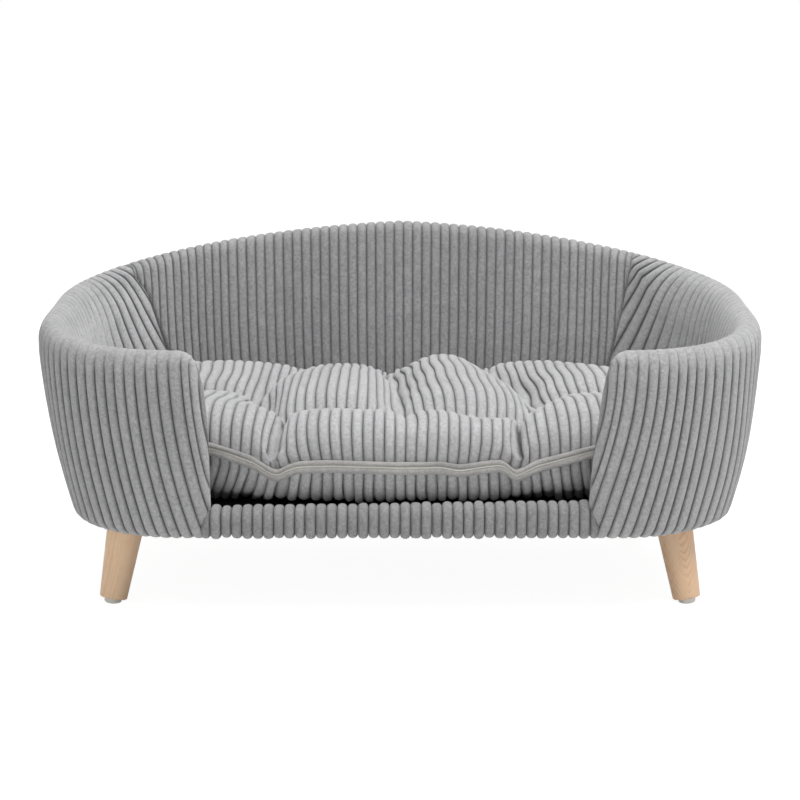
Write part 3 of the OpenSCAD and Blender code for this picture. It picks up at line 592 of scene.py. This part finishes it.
def back():
    """Cover of the back: upright ribs, cut off by the seams with the arms."""
    P_o, P_t, P_up, code = section()
    pitch = 9.95
    lim = max(SEAM_D[-1]) + 6
    c, x, k = rib_columns(-lim, lim, even_grooves(-lim, lim, pitch, pitch * 0.35))
    rib = rib_height(x)[None, :] + 0 * P_o
    c = c[None, :] + 0 * P_o
    R = rim_z(WALL_LEN - np.abs(c))
    for _ in range(2):
        z = BOTTOM + P_t * (R - BOTTOM) + P_up
        deep = np.clip(R - WALL / 2 - z, 0, None) * (code == 2)
        limit = np.where(c < 0, seam_d(-1, deep), seam_d(1, deep))
        s = WALL_LEN - np.minimum(np.abs(c), limit + SEAM_IN)
        R = rim_z(s)
    z = BOTTOM + P_t * (R - BOTTOM) + P_up
    puff = 2.2 * np.sin(np.clip((z - FOOT) / (R - FOOT), 0, 1) * math.pi) * (code == 2)
    p = wall(s, P_o + puff, z)
    p[..., 0] *= np.where(c < 0, -1, 1)
    n = -grid_normals(p)
    for _ in range(2):
        blur(n)
    # past a seam the points lie together and have no normal, so they take their neighbour's
    bad = np.linalg.norm(np.gradient(p, axis=1), axis=-1) < 1e-4
    mid, cols = c.shape[1] // 2, c.shape[1]
    for run, step in ((range(mid + 1, cols), 1), (range(mid - 1, -1, -1), -1)):
        for j in run:
            n[:, j] = np.where(bad[:, j, None], n[:, j - step], n[:, j])
    fade = smooth((limit - np.abs(c)) / 2.4)
    past = np.clip(np.abs(c) - limit, 0, SEAM_IN)
    depth = 2.5 * (1 + per_rib(k, 15, 0.06))[None, :] * np.where(code == 1, 1.25, 1.0)
    lift = 0.6 + 0.3 * wobble(c, z * 0.4, 77, 60)
    disp = (lift - depth * (1 - rib)) * fade - (1 - fade) * 0.9 - past * 1.1
    # random tone from rib to rib, and painted shade: the back is made darker all over, and more in its
    # middle
    tone_and_shading = per_rib(k, 19, 0.12)[None, :] + 0.16 * wobble(c, z, 23, 50) - 0.45
    tone_and_shading = tone_and_shading - 0.4 * smooth((210 - np.abs(c)) / 120)
    shown = (0.22 + 0.78 * rib_groove_shade(x)) * fade + (1 - fade) * 0.3
    ob = ribbed("back_upholstery", p + n * disp[..., None], shown, tone_and_shading, SHELL_FABRIC)
    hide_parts("back_cover", "back_foam")


def sill():
    """Cover of the low sill: a row of short ribs, round on top. It leans a little to one side."""
    top = SILL_Z - BOTTOM
    pts = [(TUCK, 0.0), (TUCK - 3, -0.2)] + arc(EDGE_R, EDGE_R, EDGE_R, 270, 180, 7)
    pts += arc(SILL_R, top - SILL_R, SILL_R, 180, 90, 9)
    pts += arc(SILL_T - SILL_R, top - SILL_R, SILL_R, 90, 0, 7)[1:] + [(SILL_T, FOOT - BOTTOM)]
    py, pz = [np.array(v)[:, None] for v in zip(*pts)]
    half = OPEN_LOW / 2 + 10.0
    c, x, k = rib_columns(-half, half, even_grooves(-half, half, 9.72, 0.0))
    rib = rib_height(x, 2.5)[None, :] + 0 * py
    c = c[None, :] + 0 * py
    reach = wing_x(BOTTOM + pz) + 4.5
    y, z = -plan(BOTTOM)[1] + py + 0 * c, BOTTOM + pz + 0 * c
    p = np.stack([np.clip(c, -reach, reach), y, z], -1)
    n = grid_normals(np.stack([c, y, z], -1))
    fade = smooth((reach + 1.0 - np.abs(c)) / 3.5)
    depth = 3.9 * (1 + per_rib(k, 41, 0.10))[None, :]
    lift = 0.7 + per_rib(k, 43, 0.35)[None, :] + 0.2 * wobble(c, pz * 3, 5, 40)
    disp = (lift - depth * (1 - rib)) * fade + (1 - fade) * -2.0
    p = p + n * disp[..., None]
    p[..., 2] += 2.6 * c / half * np.clip(pz / top, 0, 1)
    # random tone from rib to rib, and painted shade: the whole sill is made darker
    tone_and_shading = per_rib(k, 45, 0.16)[None, :] + 0 * c - 1.45
    ob = ribbed("sill_upholstery", p, rib_groove_shade(x) * fade, tone_and_shading, SHELL_FABRIC)
    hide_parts("sill_cover", "sill_foam")


arm(-1)
arm(1)
back()
sill()

# ------------------------ cushion
# its underside and the middle of its edging
PAD_Z = DECK_Z + 0.8 + 0.3
EDGING = PAD_Z + 47.0
pad_lo, pad_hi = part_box("cushion_top_cover")
PAD_W, PAD_F, PAD_B = pad_hi[0] / MM, -pad_lo[1] / MM, pad_hi[1] / MM
PAD_ROUND = 0.3
# heights of the edging above its middle, by share of the half width, left and right of the front
EDGE_FRONT = {-1: ([0, 0.256, 0.38, 0.42, 0.455, 0.481, 0.504, 0.55, 0.617, 0.70, 0.80, 1],
                   [0, 1.8, 0.5, -3.0, -8.5, -7.0, -3.2, 4.0, 9.5, 15.5, 19.5, 22.0]),
              1: ([0, 0.154, 0.219, 0.333, 0.384, 0.406, 0.432, 0.461, 0.512, 0.615, 0.713, 0.80, 1],
                  [0, 0.6, -2.6, 1.7, 2.3, -2.4, -8.8, -5.0, 0.9, 6.8, 12.5, 17.0, 20.0])}
EDGE_BACK = ([0, 0.4, 0.6, 1], [3, 4, 10, 20])
# sewn tufts: place and height
TUFTS = {"fl": (-110, -80, 168), "fm": (4, -82, 174), "fr": (118, -78, 160), "ml": (-155, 2, 174),
         "mr": (138, -30, 173), "rl": (-101, 115, 185), "rm": (-13, 108, 180), "rr": (89, 116, 186)}
# folds from tuft to tuft, or from a tuft to the edge: two ends and how far the middle stands above
# the straight line between them
FOLDS = [("fl", "fm", 5), ("fm", "fr", 7), ("fl", "ml", -5), ("fr", "mr", -4), ("ml", "rl", -4),
         ("mr", "rr", -4), ("fm", "rm", -3), ("rl", "rm", 3), ("rm", "rr", 3),
         ("fl", (-115, -156), 20), ("fr", (107, -156), 28), ("ml", (-295, -20), 8),
         ("mr", (295, -22), 10), ("rl", (-98, 147), 20), ("rm", (-12, 147), 13), ("rr", (80, 147), 20)]
# mends of its height where the sheet comes out too high or low: place, spread and millimetres
SWELLS = [(-170, -70, 45, 45, -6), (10, -122, 14, 24, -8), (68, -120, 42, 26, -6),
          (32, 55, 50, 55, 8), (225, 95, 60, 55, -9)]
# short wrinkles across the ribs
WRINKLES = [((12, -22), (62, -34)), ((10, -58), (70, -62)), ((-190, -30), (-150, -62)),
            ((150, 70), (190, 40)), ((-60, 40), (-95, 62))]
# points of the sheet across and along, which lie closer together towards front and back
GRID_U, GRID_V, GRID_BEND = 133, 77, 1.25


def inverse(x, y):
    """The cushion's own coordinates u and v, each from -1 to 1, of the place x, y."""
    b = np.where(y < 0, PAD_F, PAD_B)
    u, v = x / PAD_W, y / b
    for _ in range(40):
        wide = np.sqrt(np.maximum(1 - PAD_ROUND * v * v, 0.3))
        u = 0.5 * u + 0.5 * np.clip(x / (PAD_W * wide), -1, 1)
        long = np.sqrt(np.maximum(1 - PAD_ROUND * u * u, 0.3))
        v = 0.5 * v + 0.5 * np.clip(y / (b * long), -1, 1)
    return u, v


def outline_y(x, front):
    """How far the cushion's outline lies in front of or behind its middle at x."""
    b = PAD_F if front else PAD_B
    t = np.minimum(np.abs(x) / PAD_W, 1)
    k = math.sqrt(1 - PAD_ROUND)
    side = np.sqrt(np.clip((1 - t * t) / PAD_ROUND, 0, 1)) * k
    return b * np.where(t <= k, np.sqrt(1 - PAD_ROUND * np.minimum(t / k, 1) ** 2), side)


def edge_z(u, v):
    """Height of the cushion's seam: wavy in front, where the folds draw it down, and plain behind."""
    def table(t):
        a = np.abs(t)
        front = np.where(t < 0, np.interp(a, *EDGE_FRONT[-1]), np.interp(a, *EDGE_FRONT[1]))
        back = np.interp(a, *EDGE_BACK)
        return back + (front - back) * smooth(0.5 - v * 1.5)
    return EDGING + (table(u - 0.012) + 2 * table(u) + table(u + 0.012)) / 4


def crown(u, v):
    """The plump cushion before its tufts are sewn."""
    B = np.sqrt(np.clip((1 - u ** 4) * (1 - np.abs(v) ** 3.6), 0, 1))
    return EDGING * B + edge_z(u, v) * (1 - B) + 51.0 * B


def folds():
    """Each fold's two ends, its rise, and whether it runs to the seam and to the seam in front."""
    for a, e, rise in FOLDS:
        to_seam = not isinstance(e, str)
        if to_seam:
            u, v = inverse(np.array([float(e[0])]), np.array([float(e[1])]))
            end = np.array([e[0], e[1], float(edge_z(u, v)[0])])
        else:
            end = np.array(TUFTS[e], float)
        yield np.array(TUFTS[a], float), end, rise, to_seam, to_seam and e[1] < -100


def near_fold(x, y, p0, p1, to_seam):
    """Share of the way along a fold, and distance from its line, which is bowed between two tufts."""
    d = (p1 - p0)[:2]
    h = np.clip(((x - p0[0]) * d[0] + (y - p0[1]) * d[1]) / (d @ d), 0, 1)
    b = (1.0 if to_seam else 5.0) * np.sin(h * math.pi * 2 + p0[0]) / np.linalg.norm(d)
    return h, np.hypot(x - p0[0] - h * d[0] - b * d[1], y - p0[1] - h * d[1] + b * d[0])


def springs(P):
    """Springs of the sheet in sets that share no point: their ends, length, and stiffness when pulled
    and when pushed. They run along and across it, over its corners and over two cells."""
    m, n = P.shape[:2]
    for di, dj, hard, soft in ((0, 1, 1.0, 0.5), (1, 0, 1.0, 0.5), (1, 1, 0.35, 0.15),
                               (1, -1, 0.35, 0.15), (0, 2, 0.22, 0.20), (2, 0, 0.30, 0.28)):
        step, count, ease = (dj, n, 1.07) if di == 0 else (di, m, 1.05)
        for first in range(2 * step):
            i = np.arange(first, count - step, 2 * step)
            if di == 0:
                sa, sb = (slice(None), i), (slice(None), i + dj)
            else:
                sa = (i, slice(max(-dj, 0), n - max(dj, 0)))
                sb = (i + di, slice(max(dj, 0), n + min(dj, 0)))
            yield sa, sb, np.linalg.norm(P[sb] - P[sa], axis=-1) * ease, hard, soft


def puffed_top():
    """The cushion's top cover blown up over its tufts and folds, as a grid of points over u and v: a
    sheet of springs that hardly stretch, pushed out by its filling and held at seam, tufts and folds."""
    v = np.sin(np.linspace(-1, 1, GRID_V) * GRID_BEND) / math.sin(GRID_BEND)
    v, u = np.meshgrid(v, np.linspace(-1, 1, GRID_U), indexing="ij")
    b = np.where(v < 0, PAD_F, PAD_B)
    X, Y = PAD_W * u * np.sqrt(1 - PAD_ROUND * v * v), b * v * np.sqrt(1 - PAD_ROUND * u * u)
    P = np.stack([X, Y, crown(u, v)], -1)
    links = list(springs(P))
    # weights of the points, 0 where one is held
    W = np.ones(X.shape)
    W[0] = W[-1] = 0
    W[:, 0] = W[:, -1] = 0

    # how strongly the folds hold each point down, and to what height; tuck draws it in at the front
    low, tuck = np.zeros(X.shape), np.zeros(X.shape)
    limit = np.full(X.shape, 1e9)
    for p0, p1, rise, to_seam, front in folds():
        h, dist = near_fold(X, Y, p0, p1, to_seam)
        w = np.exp(-(dist / (3.6 if front else 5.0)) ** 2)
        if front:
            tuck = np.maximum(tuck, w * smooth((Y + PAD_F + 4) / 6) * (1.0 if p1[0] < 0 else 0.5))
        z = p0[2] + (p1[2] - p0[2]) * h + rise * np.sin(h * math.pi) ** 0.7
        limit = np.where(w > low, z, limit)
        low = np.maximum(low, w)
    low *= W
    pins = []
    for x, y, z in TUFTS.values():
        i, j = np.unravel_index(np.argmin(np.hypot(X - x, Y - y)), X.shape)
        pins.append((i, j, P[i, j].copy(), np.array([x, y, z])))
        W[i, j] = 0

    V = np.zeros_like(P)
    for step in range(190):
        n = unit(np.cross(np.gradient(P, axis=1), np.gradient(P, axis=0)))
        old = P.copy()
        push = 0.30 * (1 - 0.85 * low)
        P = P + (0.88 * V + n * push[..., None]) * W[..., None]
        go = min(1, (step + 1) / 50)
        for i, j, start, end in pins:
            P[i, j] = start + (end - start) * go
        for _ in range(6):
            for sa, sb, length, hard, soft in links:
                d = P[sb] - P[sa]
                ln = np.sqrt((d * d).sum(-1))
                w = W[sa] + W[sb]
                k = np.where(ln > length, hard, soft) * (ln - length) / np.maximum(ln * w, 1e-6)
                c = d * k[..., None]
                P[sa] += c * W[sa][..., None]
                P[sb] -= c * W[sb][..., None]
            over = np.maximum(P[..., 2] - (limit + (1 - go) * 30), 0)
            P[..., 2] -= over * low * 0.8
            P[..., 1] = np.maximum(P[..., 1], -outline_y(P[..., 0], True) - 4.5 + 6.0 * tuck)
            P[..., 1] = np.minimum(P[..., 1], outline_y(P[..., 0], False) + 1.5)
            P[..., 0] = np.clip(P[..., 0], -PAD_W - 1, PAD_W + 1)
        V = P - old

    # its highest places sink, apart from those behind the middle, then come the mends
    P[..., 2] -= 0.38 * (1 - np.exp(-((X - 40) / 60) ** 2)) * np.clip(P[..., 2] - 190, 0, None)
    for x, y, across, along, rise in SWELLS:
        swell = rise * np.exp(-((X - x) / across) ** 2 - ((Y - y) / along) ** 2)
        P[..., 2] += swell * (1 - np.abs(u) ** 8) * (1 - np.abs(v) ** 8)
    even = (4 * P[1:-1, 1:-1] + P[:-2, 1:-1] + P[2:, 1:-1] + P[1:-1, :-2] + P[1:-1, 2:]) / 8
    P[1:-1, 1:-1] += (even - P[1:-1, 1:-1]) * (1 - low[1:-1, 1:-1, None])
    return P


def sample(S, u, v):
    """Smooth value of the grid S at u and v."""
    m, n = S.shape[:2]
    fi = (np.arcsin(np.clip(v, -1, 1) * math.sin(GRID_BEND)) / GRID_BEND + 1) / 2 * (m - 1)
    fj = (np.clip(u, -1, 1) + 1) / 2 * (n - 1)
    i0 = np.clip(np.floor(fi).astype(int), 0, m - 2)
    j0 = np.clip(np.floor(fj).astype(int), 0, n - 2)

    def kernel(t):
        return [(-t ** 3 + 2 * t ** 2 - t) / 2, (3 * t ** 3 - 5 * t ** 2 + 2) / 2,
                (-3 * t ** 3 + 4 * t ** 2 + t) / 2, (t ** 3 - t ** 2) / 2]
    value = 0
    for a, ka in zip(range(-1, 3), kernel(fi - i0)):
        ia = np.clip(i0 + a, 0, m - 1)
        for c, kc in zip(range(-1, 3), kernel(fj - j0)):
            value = value + (ka * kc)[..., None] * S[ia, np.clip(j0 + c, 0, n - 1)]
    return value


TOP = puffed_top()


def under_surface(x, y):
    """Point of the bottom cover: bellied in front, flat where it rests on the deck."""
    u, v = inverse(x, y)
    B = np.minimum(1, 1.03 * np.sqrt(np.clip((1 - np.abs(u) ** 8) * (1 - np.abs(v) ** 18), 0, 1)))
    e = edge_z(u, v) - 2.0
    front = smooth((-y - 85) / 40)
    # the belly is raised left and right of the middle
    raised = np.where(x < 0, 6.0 * smooth((-x - 90) / 60), 7.0 * smooth((x - 75) / 60))
    low = PAD_Z + front * (9.0 + raised * smooth((250 - np.abs(x)) / 60))
    return np.stack([x, y, e - (e - low) * B], -1)


def creases(x, y):
    """How deep the sharp creases along folds and wrinkles go at x, y."""
    out = 0 * x
    for p0, p1, _, to_seam, front in folds():
        h, dist = near_fold(x, y, p0, p1, to_seam)
        fade = smooth((1 - h) / (0.18 if front else 0.3)) if to_seam else 1.0
        deep, wide = (4.2, 1.4) if front else (2.2, 2.4)
        out = np.maximum(out, deep * fade * np.exp(-(dist / wide) ** 2))
    for p0, p1 in WRINKLES:
        d = np.array(p1, float) - p0
        h = ((x - p0[0]) * d[0] + (y - p0[1]) * d[1]) / (d @ d)
        dist = np.abs((x - p0[0]) * d[1] - (y - p0[1]) * d[0]) / np.linalg.norm(d)
        out = np.maximum(out, 1.6 * np.clip(1 - (2 * h - 1) ** 2, 0, 1) * np.exp(-(dist / 2.6) ** 2))
    return out


def cushion_half(top):
    """Ribbed cover of the cushion, its top or its underside."""
    reach = PAD_W - 0.6
    c, x, k = rib_columns(-reach, reach, even_grooves(-reach, reach, 9.6, 5.0))
    # rows from front to back, closer together towards the seam
    tau = np.linspace(-1, 1, 120 if top else 72)[:, None]
    v = np.sin(tau * math.pi / 2 * 0.985) / math.sin(math.pi / 2 * 0.985)
    v = 0.7 * v + 0.3 * tau if top else 0.9 * v + 0.1 * tau
    c = c[None, :] + 0 * tau
    y = np.where(v < 0, v * outline_y(c, True), v * outline_y(c, False))
    # the ribs wander a little, and on top they lean towards the middle behind
    drift = smooth((1 - np.abs(v)) / 0.15)
    wander = 1.1 * wobble(c * 0.6, y, 101, 38) + 0.7 * wobble(c * 0.5, y * 2, 107, 30)
    wander = wander * drift * smooth((PAD_W - np.abs(c)) / 30)
    if top:
        lean = np.interp(c, [-290, -200, -130, -60, 20, 110, 200, 290], [0, 12, 10, 0, -12, -14, -14, 0])
        wander = wander + lean * smooth((y + 70) / 170) * drift
        p = sample(TOP, *inverse(c + wander, y))
    else:
        p = under_surface(c + wander, y)
        # the belly's ribs hang unevenly and slant outwards
        hang = np.clip((EDGING - p[..., 2]) / 45, 0, 1) * (y < -60)
        slant = np.where(c < 0, -14.0, 8.0) * smooth((np.abs(c) - 50) / 90)
        p[..., 0] += (4.0 * wobble(c * 0.5, y * 0.1, 113, 30) + slant) * hang
        p[..., 2] += per_rib(k, 121, 1.6)[None, :] * hang ** 2
        p[..., 1] += per_rib(k, 123, 1.2)[None, :] * hang
    n = grid_normals(p) * (1 if top else -1)
    for _ in range(2):
        blur(n)
        blur(n.swapaxes(0, 1))
    n = unit(n)
    rib = rib_height(x, 2.5 if top else 2.2)[None, :] + 0 * c
    depth = (3.7 if top else 4.7) * (1 + per_rib(k, 51 if top else 61, 0.08))[None, :]
    crushed = 0.35 * wobble(c * 3, y * 2.2, 131, 22)
    crease = creases(c + wander, y) if top else 0 * c
    sew = smooth((1 - np.abs(v)) / 0.02) + 0 * c
    disp = (0.5 + crushed - depth * (1 - rib)) * (0.25 + 0.75 * sew) - crease
    p = p + n * disp[..., None]
    tone_and_shading = per_rib(k, 71 + top, 0.12 if top else 0.2)[None, :] + 0.15 * wobble(c, y, 73, 40)
    if top:
        # painted shade: darker where the front goes down to the seam
        tone_and_shading = tone_and_shading - 0.9 * smooth((-y - 125) / 20) * smooth((192 - p[..., 2]) / 45)
    else:
        # painted light: the underside is made a little lighter all over
        tone_and_shading = tone_and_shading + 0.1
        p[..., 2] = np.maximum(p[..., 2], PAD_Z - 0.1)
    # painted shade: the ribs darken a little in the creases
    ob = ribbed("cushion_top" if top else "cushion_under", p, rib_groove_shade(x) + 0 * c - 0.05 * crease, tone_and_shading,
                PAD_FABRIC, flip=not top)
    if top:
        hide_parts("cushion_top_cover", "cushion_filling", "tuft_ties")
    else:
        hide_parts("cushion_bottom_cover")


def outline_loop(n=420):
    """Points round the cushion's seam, evenly spaced, with outward directions and edge heights."""
    x = np.concatenate([np.linspace(-PAD_W, PAD_W, 1600), np.linspace(PAD_W, -PAD_W, 1600)[1:-1]])
    xs = PAD_W * np.sin(x / PAD_W * math.pi / 2)
    y = np.where(np.arange(len(x)) < 1600, -outline_y(xs, True), outline_y(xs, False))
    length, at = walk(np.stack([xs, y], 1))
    want = np.linspace(0, length, n, endpoint=False)
    q = at(want)
    for _ in range(3):
        q = (np.roll(q, 1, 0) + 2 * q + np.roll(q, -1, 0)) / 4
    tan = np.roll(q, -1, 0) - np.roll(q, 1, 0)
    tan /= np.linalg.norm(tan, axis=1, keepdims=True)
    u, v = inverse(q[:, 0], q[:, 1])
    return q, np.stack([tan[:, 1], -tan[:, 0]], 1), edge_z(u, v), want


def strip(name, lo, hi, reach, mat, slot, nodes, bulge=0.0, seed=0, seg=10):
    """One folded strip of the cushion's edging: a flat tube round the seam, from lo to hi in height
    and reach far out."""
    q, out, ez, t = outline_loop()
    mid, hh, r = (lo + hi) / 2, (hi - lo) / 2, reach / 2
    wav = 0.55 * wobble(t, t * 0.3, 201, 40) + 0.25 * wobble(t, 0 * t, 205, 12)
    own = 0.25 * wobble(t, 0 * t, 211 + seed, 14)
    rows = []
    for a in np.linspace(0, 2 * math.pi, seg, endpoint=False):
        ca, sa = math.cos(a), math.sin(a)
        oo = -1.0 + r + r * np.sign(ca) * abs(ca) ** 0.7 + bulge + 0.5 * wav
        zz = ez + mid + (hh + own * 0.5) * np.sign(sa) * abs(sa) ** 0.6 + wav * 0.8
        rows.append(np.stack([q[:, 0] + out[:, 0] * oo, q[:, 1] + out[:, 1] * oo, zz], 1))
    n = len(q)
    point = lambda i, j: i % n * seg + j % seg
    faces = [[point(i, j), point(i + 1, j), point(i + 1, j + 1), point(i, j + 1)]
             for i in range(n) for j in range(seg)]
    ob = new_mesh(name, np.stack(rows, 1).reshape(-1, 3), faces, "cushion", slot, mat)
    set_attr(ob, "rib", np.ones(n * seg))
    set_attr(ob, "tone_and_shading", np.repeat(np.clip(0.6 * wobble(t, 0 * t, 221 + seed, 25), -1, 1), seg))
    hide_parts(*nodes)


cushion_half(True)
cushion_half(False)
strip("edging_upper", 0.3, 4.7, 6.5, M_EDGE, "pale_corduroy", ["upper_edging"], seed=1)
strip("edging_lower", -7.0, -0.9, 6.8, M_EDGE, "pale_corduroy", ["lower_edging"], seed=2)
strip("edging_line", -1.2, 0.6, 5.6, M_CREAM, "cream_tape", ["edging_tape"], bulge=0.4, seed=3, seg=8)


# ------------------------ cloths of deck and underside
def outline_pts(z, inset, n=240):
    """Points of the shell's outline at height z, drawn in by inset."""
    w, f, b, r = [float(v) - inset for v in plan(z)]
    corners = ((w - r, r - f, -90), (w - r, b - r, 0), (r - w, b - r, 90), (r - w, r - f, 180))
    return np.array([p for x, y, a in corners for p in arc(x, y, r, a, a + 90, n // 4)])


def cloth_sheet(name, z, pts, node, wave, up):
    """Flat sheet inside an outline, as rings drawn in towards the middle, with a slight wave."""
    rings = [1, 0.985, 0.95, 0.88, 0.78, 0.66, 0.52, 0.38, 0.24, 0.1]
    c = pts.mean(0)
    v = np.concatenate([c + (pts - c) * s for s in rings] + [[c]])
    h = wave * wobble(v[:, 0], v[:, 1], 301, 45)
    fade = np.repeat(np.array([0, 0.2, 0.8] + [1] * 7), len(pts))
    h[:-1] *= fade
    v3 = np.column_stack([v, z + np.abs(h) * up])
    n = len(pts)
    last = (len(rings) - 1) * n
    faces = grid_faces(len(rings), n, close_cols=True)
    faces += [[last + j, last + (j + 1) % n, len(v) - 1] for j in range(n)]
    if up < 0:
        faces = [f[::-1] for f in faces]
    ob = new_mesh(name, v3, faces, "shell", "black_cloth", M_BLACK)
    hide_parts(node)
    x, y = pts[:, 0], pts[:, 1]
    area = abs(np.dot(x, np.roll(y, -1)) - np.dot(y, np.roll(x, -1))) / 2 * MM * MM
    size = (float(np.ptp(x)) * MM, float(np.ptp(y)) * MM)


deck = outline_pts(DECK_Z, 20.0)
deck[:, 1] = np.maximum(deck[:, 1], -plan(BOTTOM)[1] + SILL_T - 2.7)
cloth_sheet("deck_sheet", DECK_Z + 0.8, deck, "deck_cloth", 0.15, 1)
cloth_sheet("dust_sheet", DUST_Z, outline_pts(BOTTOM, TUCK - 0.5), "dust_cloth", 0.5, -1)


def turned(angle):
    """Direction at an angle, and the one square to it."""
    d = np.array([math.cos(angle), math.sin(angle)])
    return d, np.array([-d[1], d[0]])


BOX_FACES = ([0, 1, 3, 2], [4, 6, 7, 5], [0, 4, 5, 1], [2, 3, 7, 6], [0, 2, 6, 4], [1, 5, 7, 3])


def staples():
    """Staples along the dust cloth's edge, under the board."""
    length, at = walk(outline_pts(BOTTOM, TUCK + 7, 400))
    want = np.arange(12, length - 6, 34.0)
    verts, faces = [], []
    for a, b in zip(at(want), at((want + 1) % length)):
        d = (b - a) / max(np.linalg.norm(b - a), 1e-9)
        d, n = turned(math.atan2(d[1], d[0]) + rng.normal(0, 0.12))
        faces += [[len(verts) + k for k in f] for f in BOX_FACES]
        verts += [(*(a + d * e + n * w), z) for e in (-5.5, 5.5) for w in (-0.55, 0.55)
                  for z in (DUST_Z - 0.75, DUST_Z + 0.3)]
    new_mesh("dust_staples", verts, faces, "shell", "steel", M_STEEL, smooth_shade=False)


def tuft_threads():
    """A few turns of thread in the bottom of each tuft."""
    top = bpy.data.objects["cushion_top"].data
    co = np.array([v.co for v in top.vertices]) / MM
    steps, round_thread = 7, [a * math.pi / 3 for a in range(6)]
    verts, faces = [], []
    for i, (tx, ty, _) in enumerate(TUFTS.values()):
        near = co[np.hypot(co[:, 0] - tx, co[:, 1] - ty) < 5]
        z = float(np.median(near[:, 2])) + 0.2
        r = np.random.default_rng(400 + i)
        for _ in range(4):
            d, n = turned(r.uniform(0, math.pi))
            faces += [[len(verts) + k for k in f] for f in grid_faces(steps, 6, close_cols=True)]
            for s in range(steps):
                f = s / (steps - 1) * 2 - 1
                c = np.array([tx, ty]) + d * f * 4.2 + n * r.uniform(-0.15, 0.15)
                zz = z + 1.1 * (1 - f * f) - 1.3 * f * f
                verts += [(c[0] + n[0] * 0.45 * math.cos(a), c[1] + n[1] * 0.45 * math.cos(a),
                           zz + 0.45 * math.sin(a)) for a in round_thread]
    new_mesh("tuft_threads", verts, faces, "cushion", "cream_tape", M_THREAD)


staples()
tuft_threads()

# ------------------------ materials of carried-over nodes
SPLAY = math.radians(14)
LEGS = {"front_left": (-262, -104), "front_right": (262, -104), "rear_left": (-240, 112),
        "rear_right": (240, 112)}
# grain colours, a pair for the left legs and a pair for the right: the left pair is lighter, as painted
# light
LIGHT, DARK = (srgb(240, 208, 174), srgb(226, 194, 162)), (srgb(208, 166, 124), srgb(196, 152, 116))


def paint(node, mat):
    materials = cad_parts[node].data.materials
    materials.clear()
    materials.append(mat)


# the grain follows each leg's splay, and each leg is cut from another place of the plank
for i, (name, (lx, ly)) in enumerate(LEGS.items()):
    sx, sy = math.copysign(1, lx), math.copysign(1, ly)
    lean_x = math.asin(math.sin(SPLAY) / math.sqrt(2)) * sy
    lean_y = -math.atan(math.tan(SPLAY) / math.sqrt(2)) * sx
    origin = ((lx + (1.5 + 2 * i) * (i > 1) + 1.5) * MM, ly * MM, (20 + 37 * i) * MM)
    grain = wood(f"leg_wood_{name}", LIGHT[i % 2], DARK[i % 2], origin, (lean_x, lean_y, 0), float(i % 2))
    paint(f"{name}_leg", grain)
    paint(f"{name}_glide", M_PLASTIC)
for node in ("glide_nails", "hanger_bolts", "t_nuts", "panel_nails", "frame_screws"):
    paint(node, M_STEEL)
birch = ["base_board", "back_panel", "front_rail"]
for piece in ("arm_panel", "front_batten", "back_batten"):
    birch += [f"left_{piece}", f"right_{piece}"]
for node in birch:
    paint(node, M_BIRCH)

# ------------------------ floor, light and camera
def seen(nt):
    """1 for rays from the camera, straight, mirrored or through glass, and 0 for others."""
    path = nt.nodes.new("ShaderNodeLightPath").outputs
    share = path["Is Camera Ray"]
    for kind in ("Is Glossy Ray", "Is Transmission Ray"):
        share = calc(nt, "MAXIMUM", share, path[kind])
    return share


def blend(nt, output, fac, dull, bright):
    """Shader mixed by fac from a dull and a bright one, each a kind with its inputs, on to an output."""
    shaders = [add(nt, k, inputs).outputs[0] for k, inputs in (dull, bright)]
    both = add(nt, "ShaderNodeMixShader", {0: fac, 1: shaders[0], 2: shaders[1]})
    add(nt, output, {0: both.outputs[0]})


# the floor shows the camera mostly its own white, and keeps the shadow
floor_me = bpy.data.meshes.new("floor")
floor_me.from_pydata([(-8, -8, 0), (8, -8, 0), (8, 8, 0), (-8, 8, 0)], [], [(0, 1, 2, 3)])
floor_mat = bpy.data.materials.new("floor_white")
floor_me.materials.append(floor_mat)
nt = blank(floor_mat)
blend(nt, "ShaderNodeOutputMaterial", calc(nt, "MULTIPLY", seen(nt), 0.70),
      ("ShaderNodeBsdfDiffuse", {"Color": (0.93, 0.93, 0.93, 1)}),
      ("ShaderNodeEmission", {"Color": (1, 1, 1, 1), "Strength": 1.34}))
floor = put("floor", floor_me)

world = bpy.data.worlds.new("studio")
bpy.context.scene.world = world
nt = blank(world)
blend(nt, "ShaderNodeOutputWorld", seen(nt),
      ("ShaderNodeBackground", {"Color": (1, 1, 1, 1), "Strength": 0.36}),
      ("ShaderNodeBackground", {"Color": (1, 1, 1, 1), "Strength": 1.0}))


def area(name, loc, target, size, power):
    d = bpy.data.lights.new(name, "AREA")
    d.shape = "RECTANGLE"
    d.size = d.size_y = size
    d.energy = power
    o = put(name, d)
    o.location = loc
    o.rotation_euler = (Vector(target) - Vector(loc)).to_track_quat("-Z", "Y").to_euler()


area("key_top", (0.5, -0.5, 2.15), (0, 0, 0.15), 1.6, 54)
area("fill_front", (-1.3, -2.3, 0.7), (0, 0, 0.15), 1.8, 7)
area("rim_back", (0.4, 1.5, 1.6), (0, 0, 0.25), 1.6, 7)

cam_data = bpy.data.cameras.new("camera")
cam = put("camera", cam_data)
cam_data.lens = 84.87
cam_data.sensor_width = 36
cam.location = (0, -1.860, 0.536)
cam.rotation_euler = (math.radians(79), 0, 0)
bpy.context.scene.camera = cam
bpy.context.scene.view_settings.view_transform = "Standard"
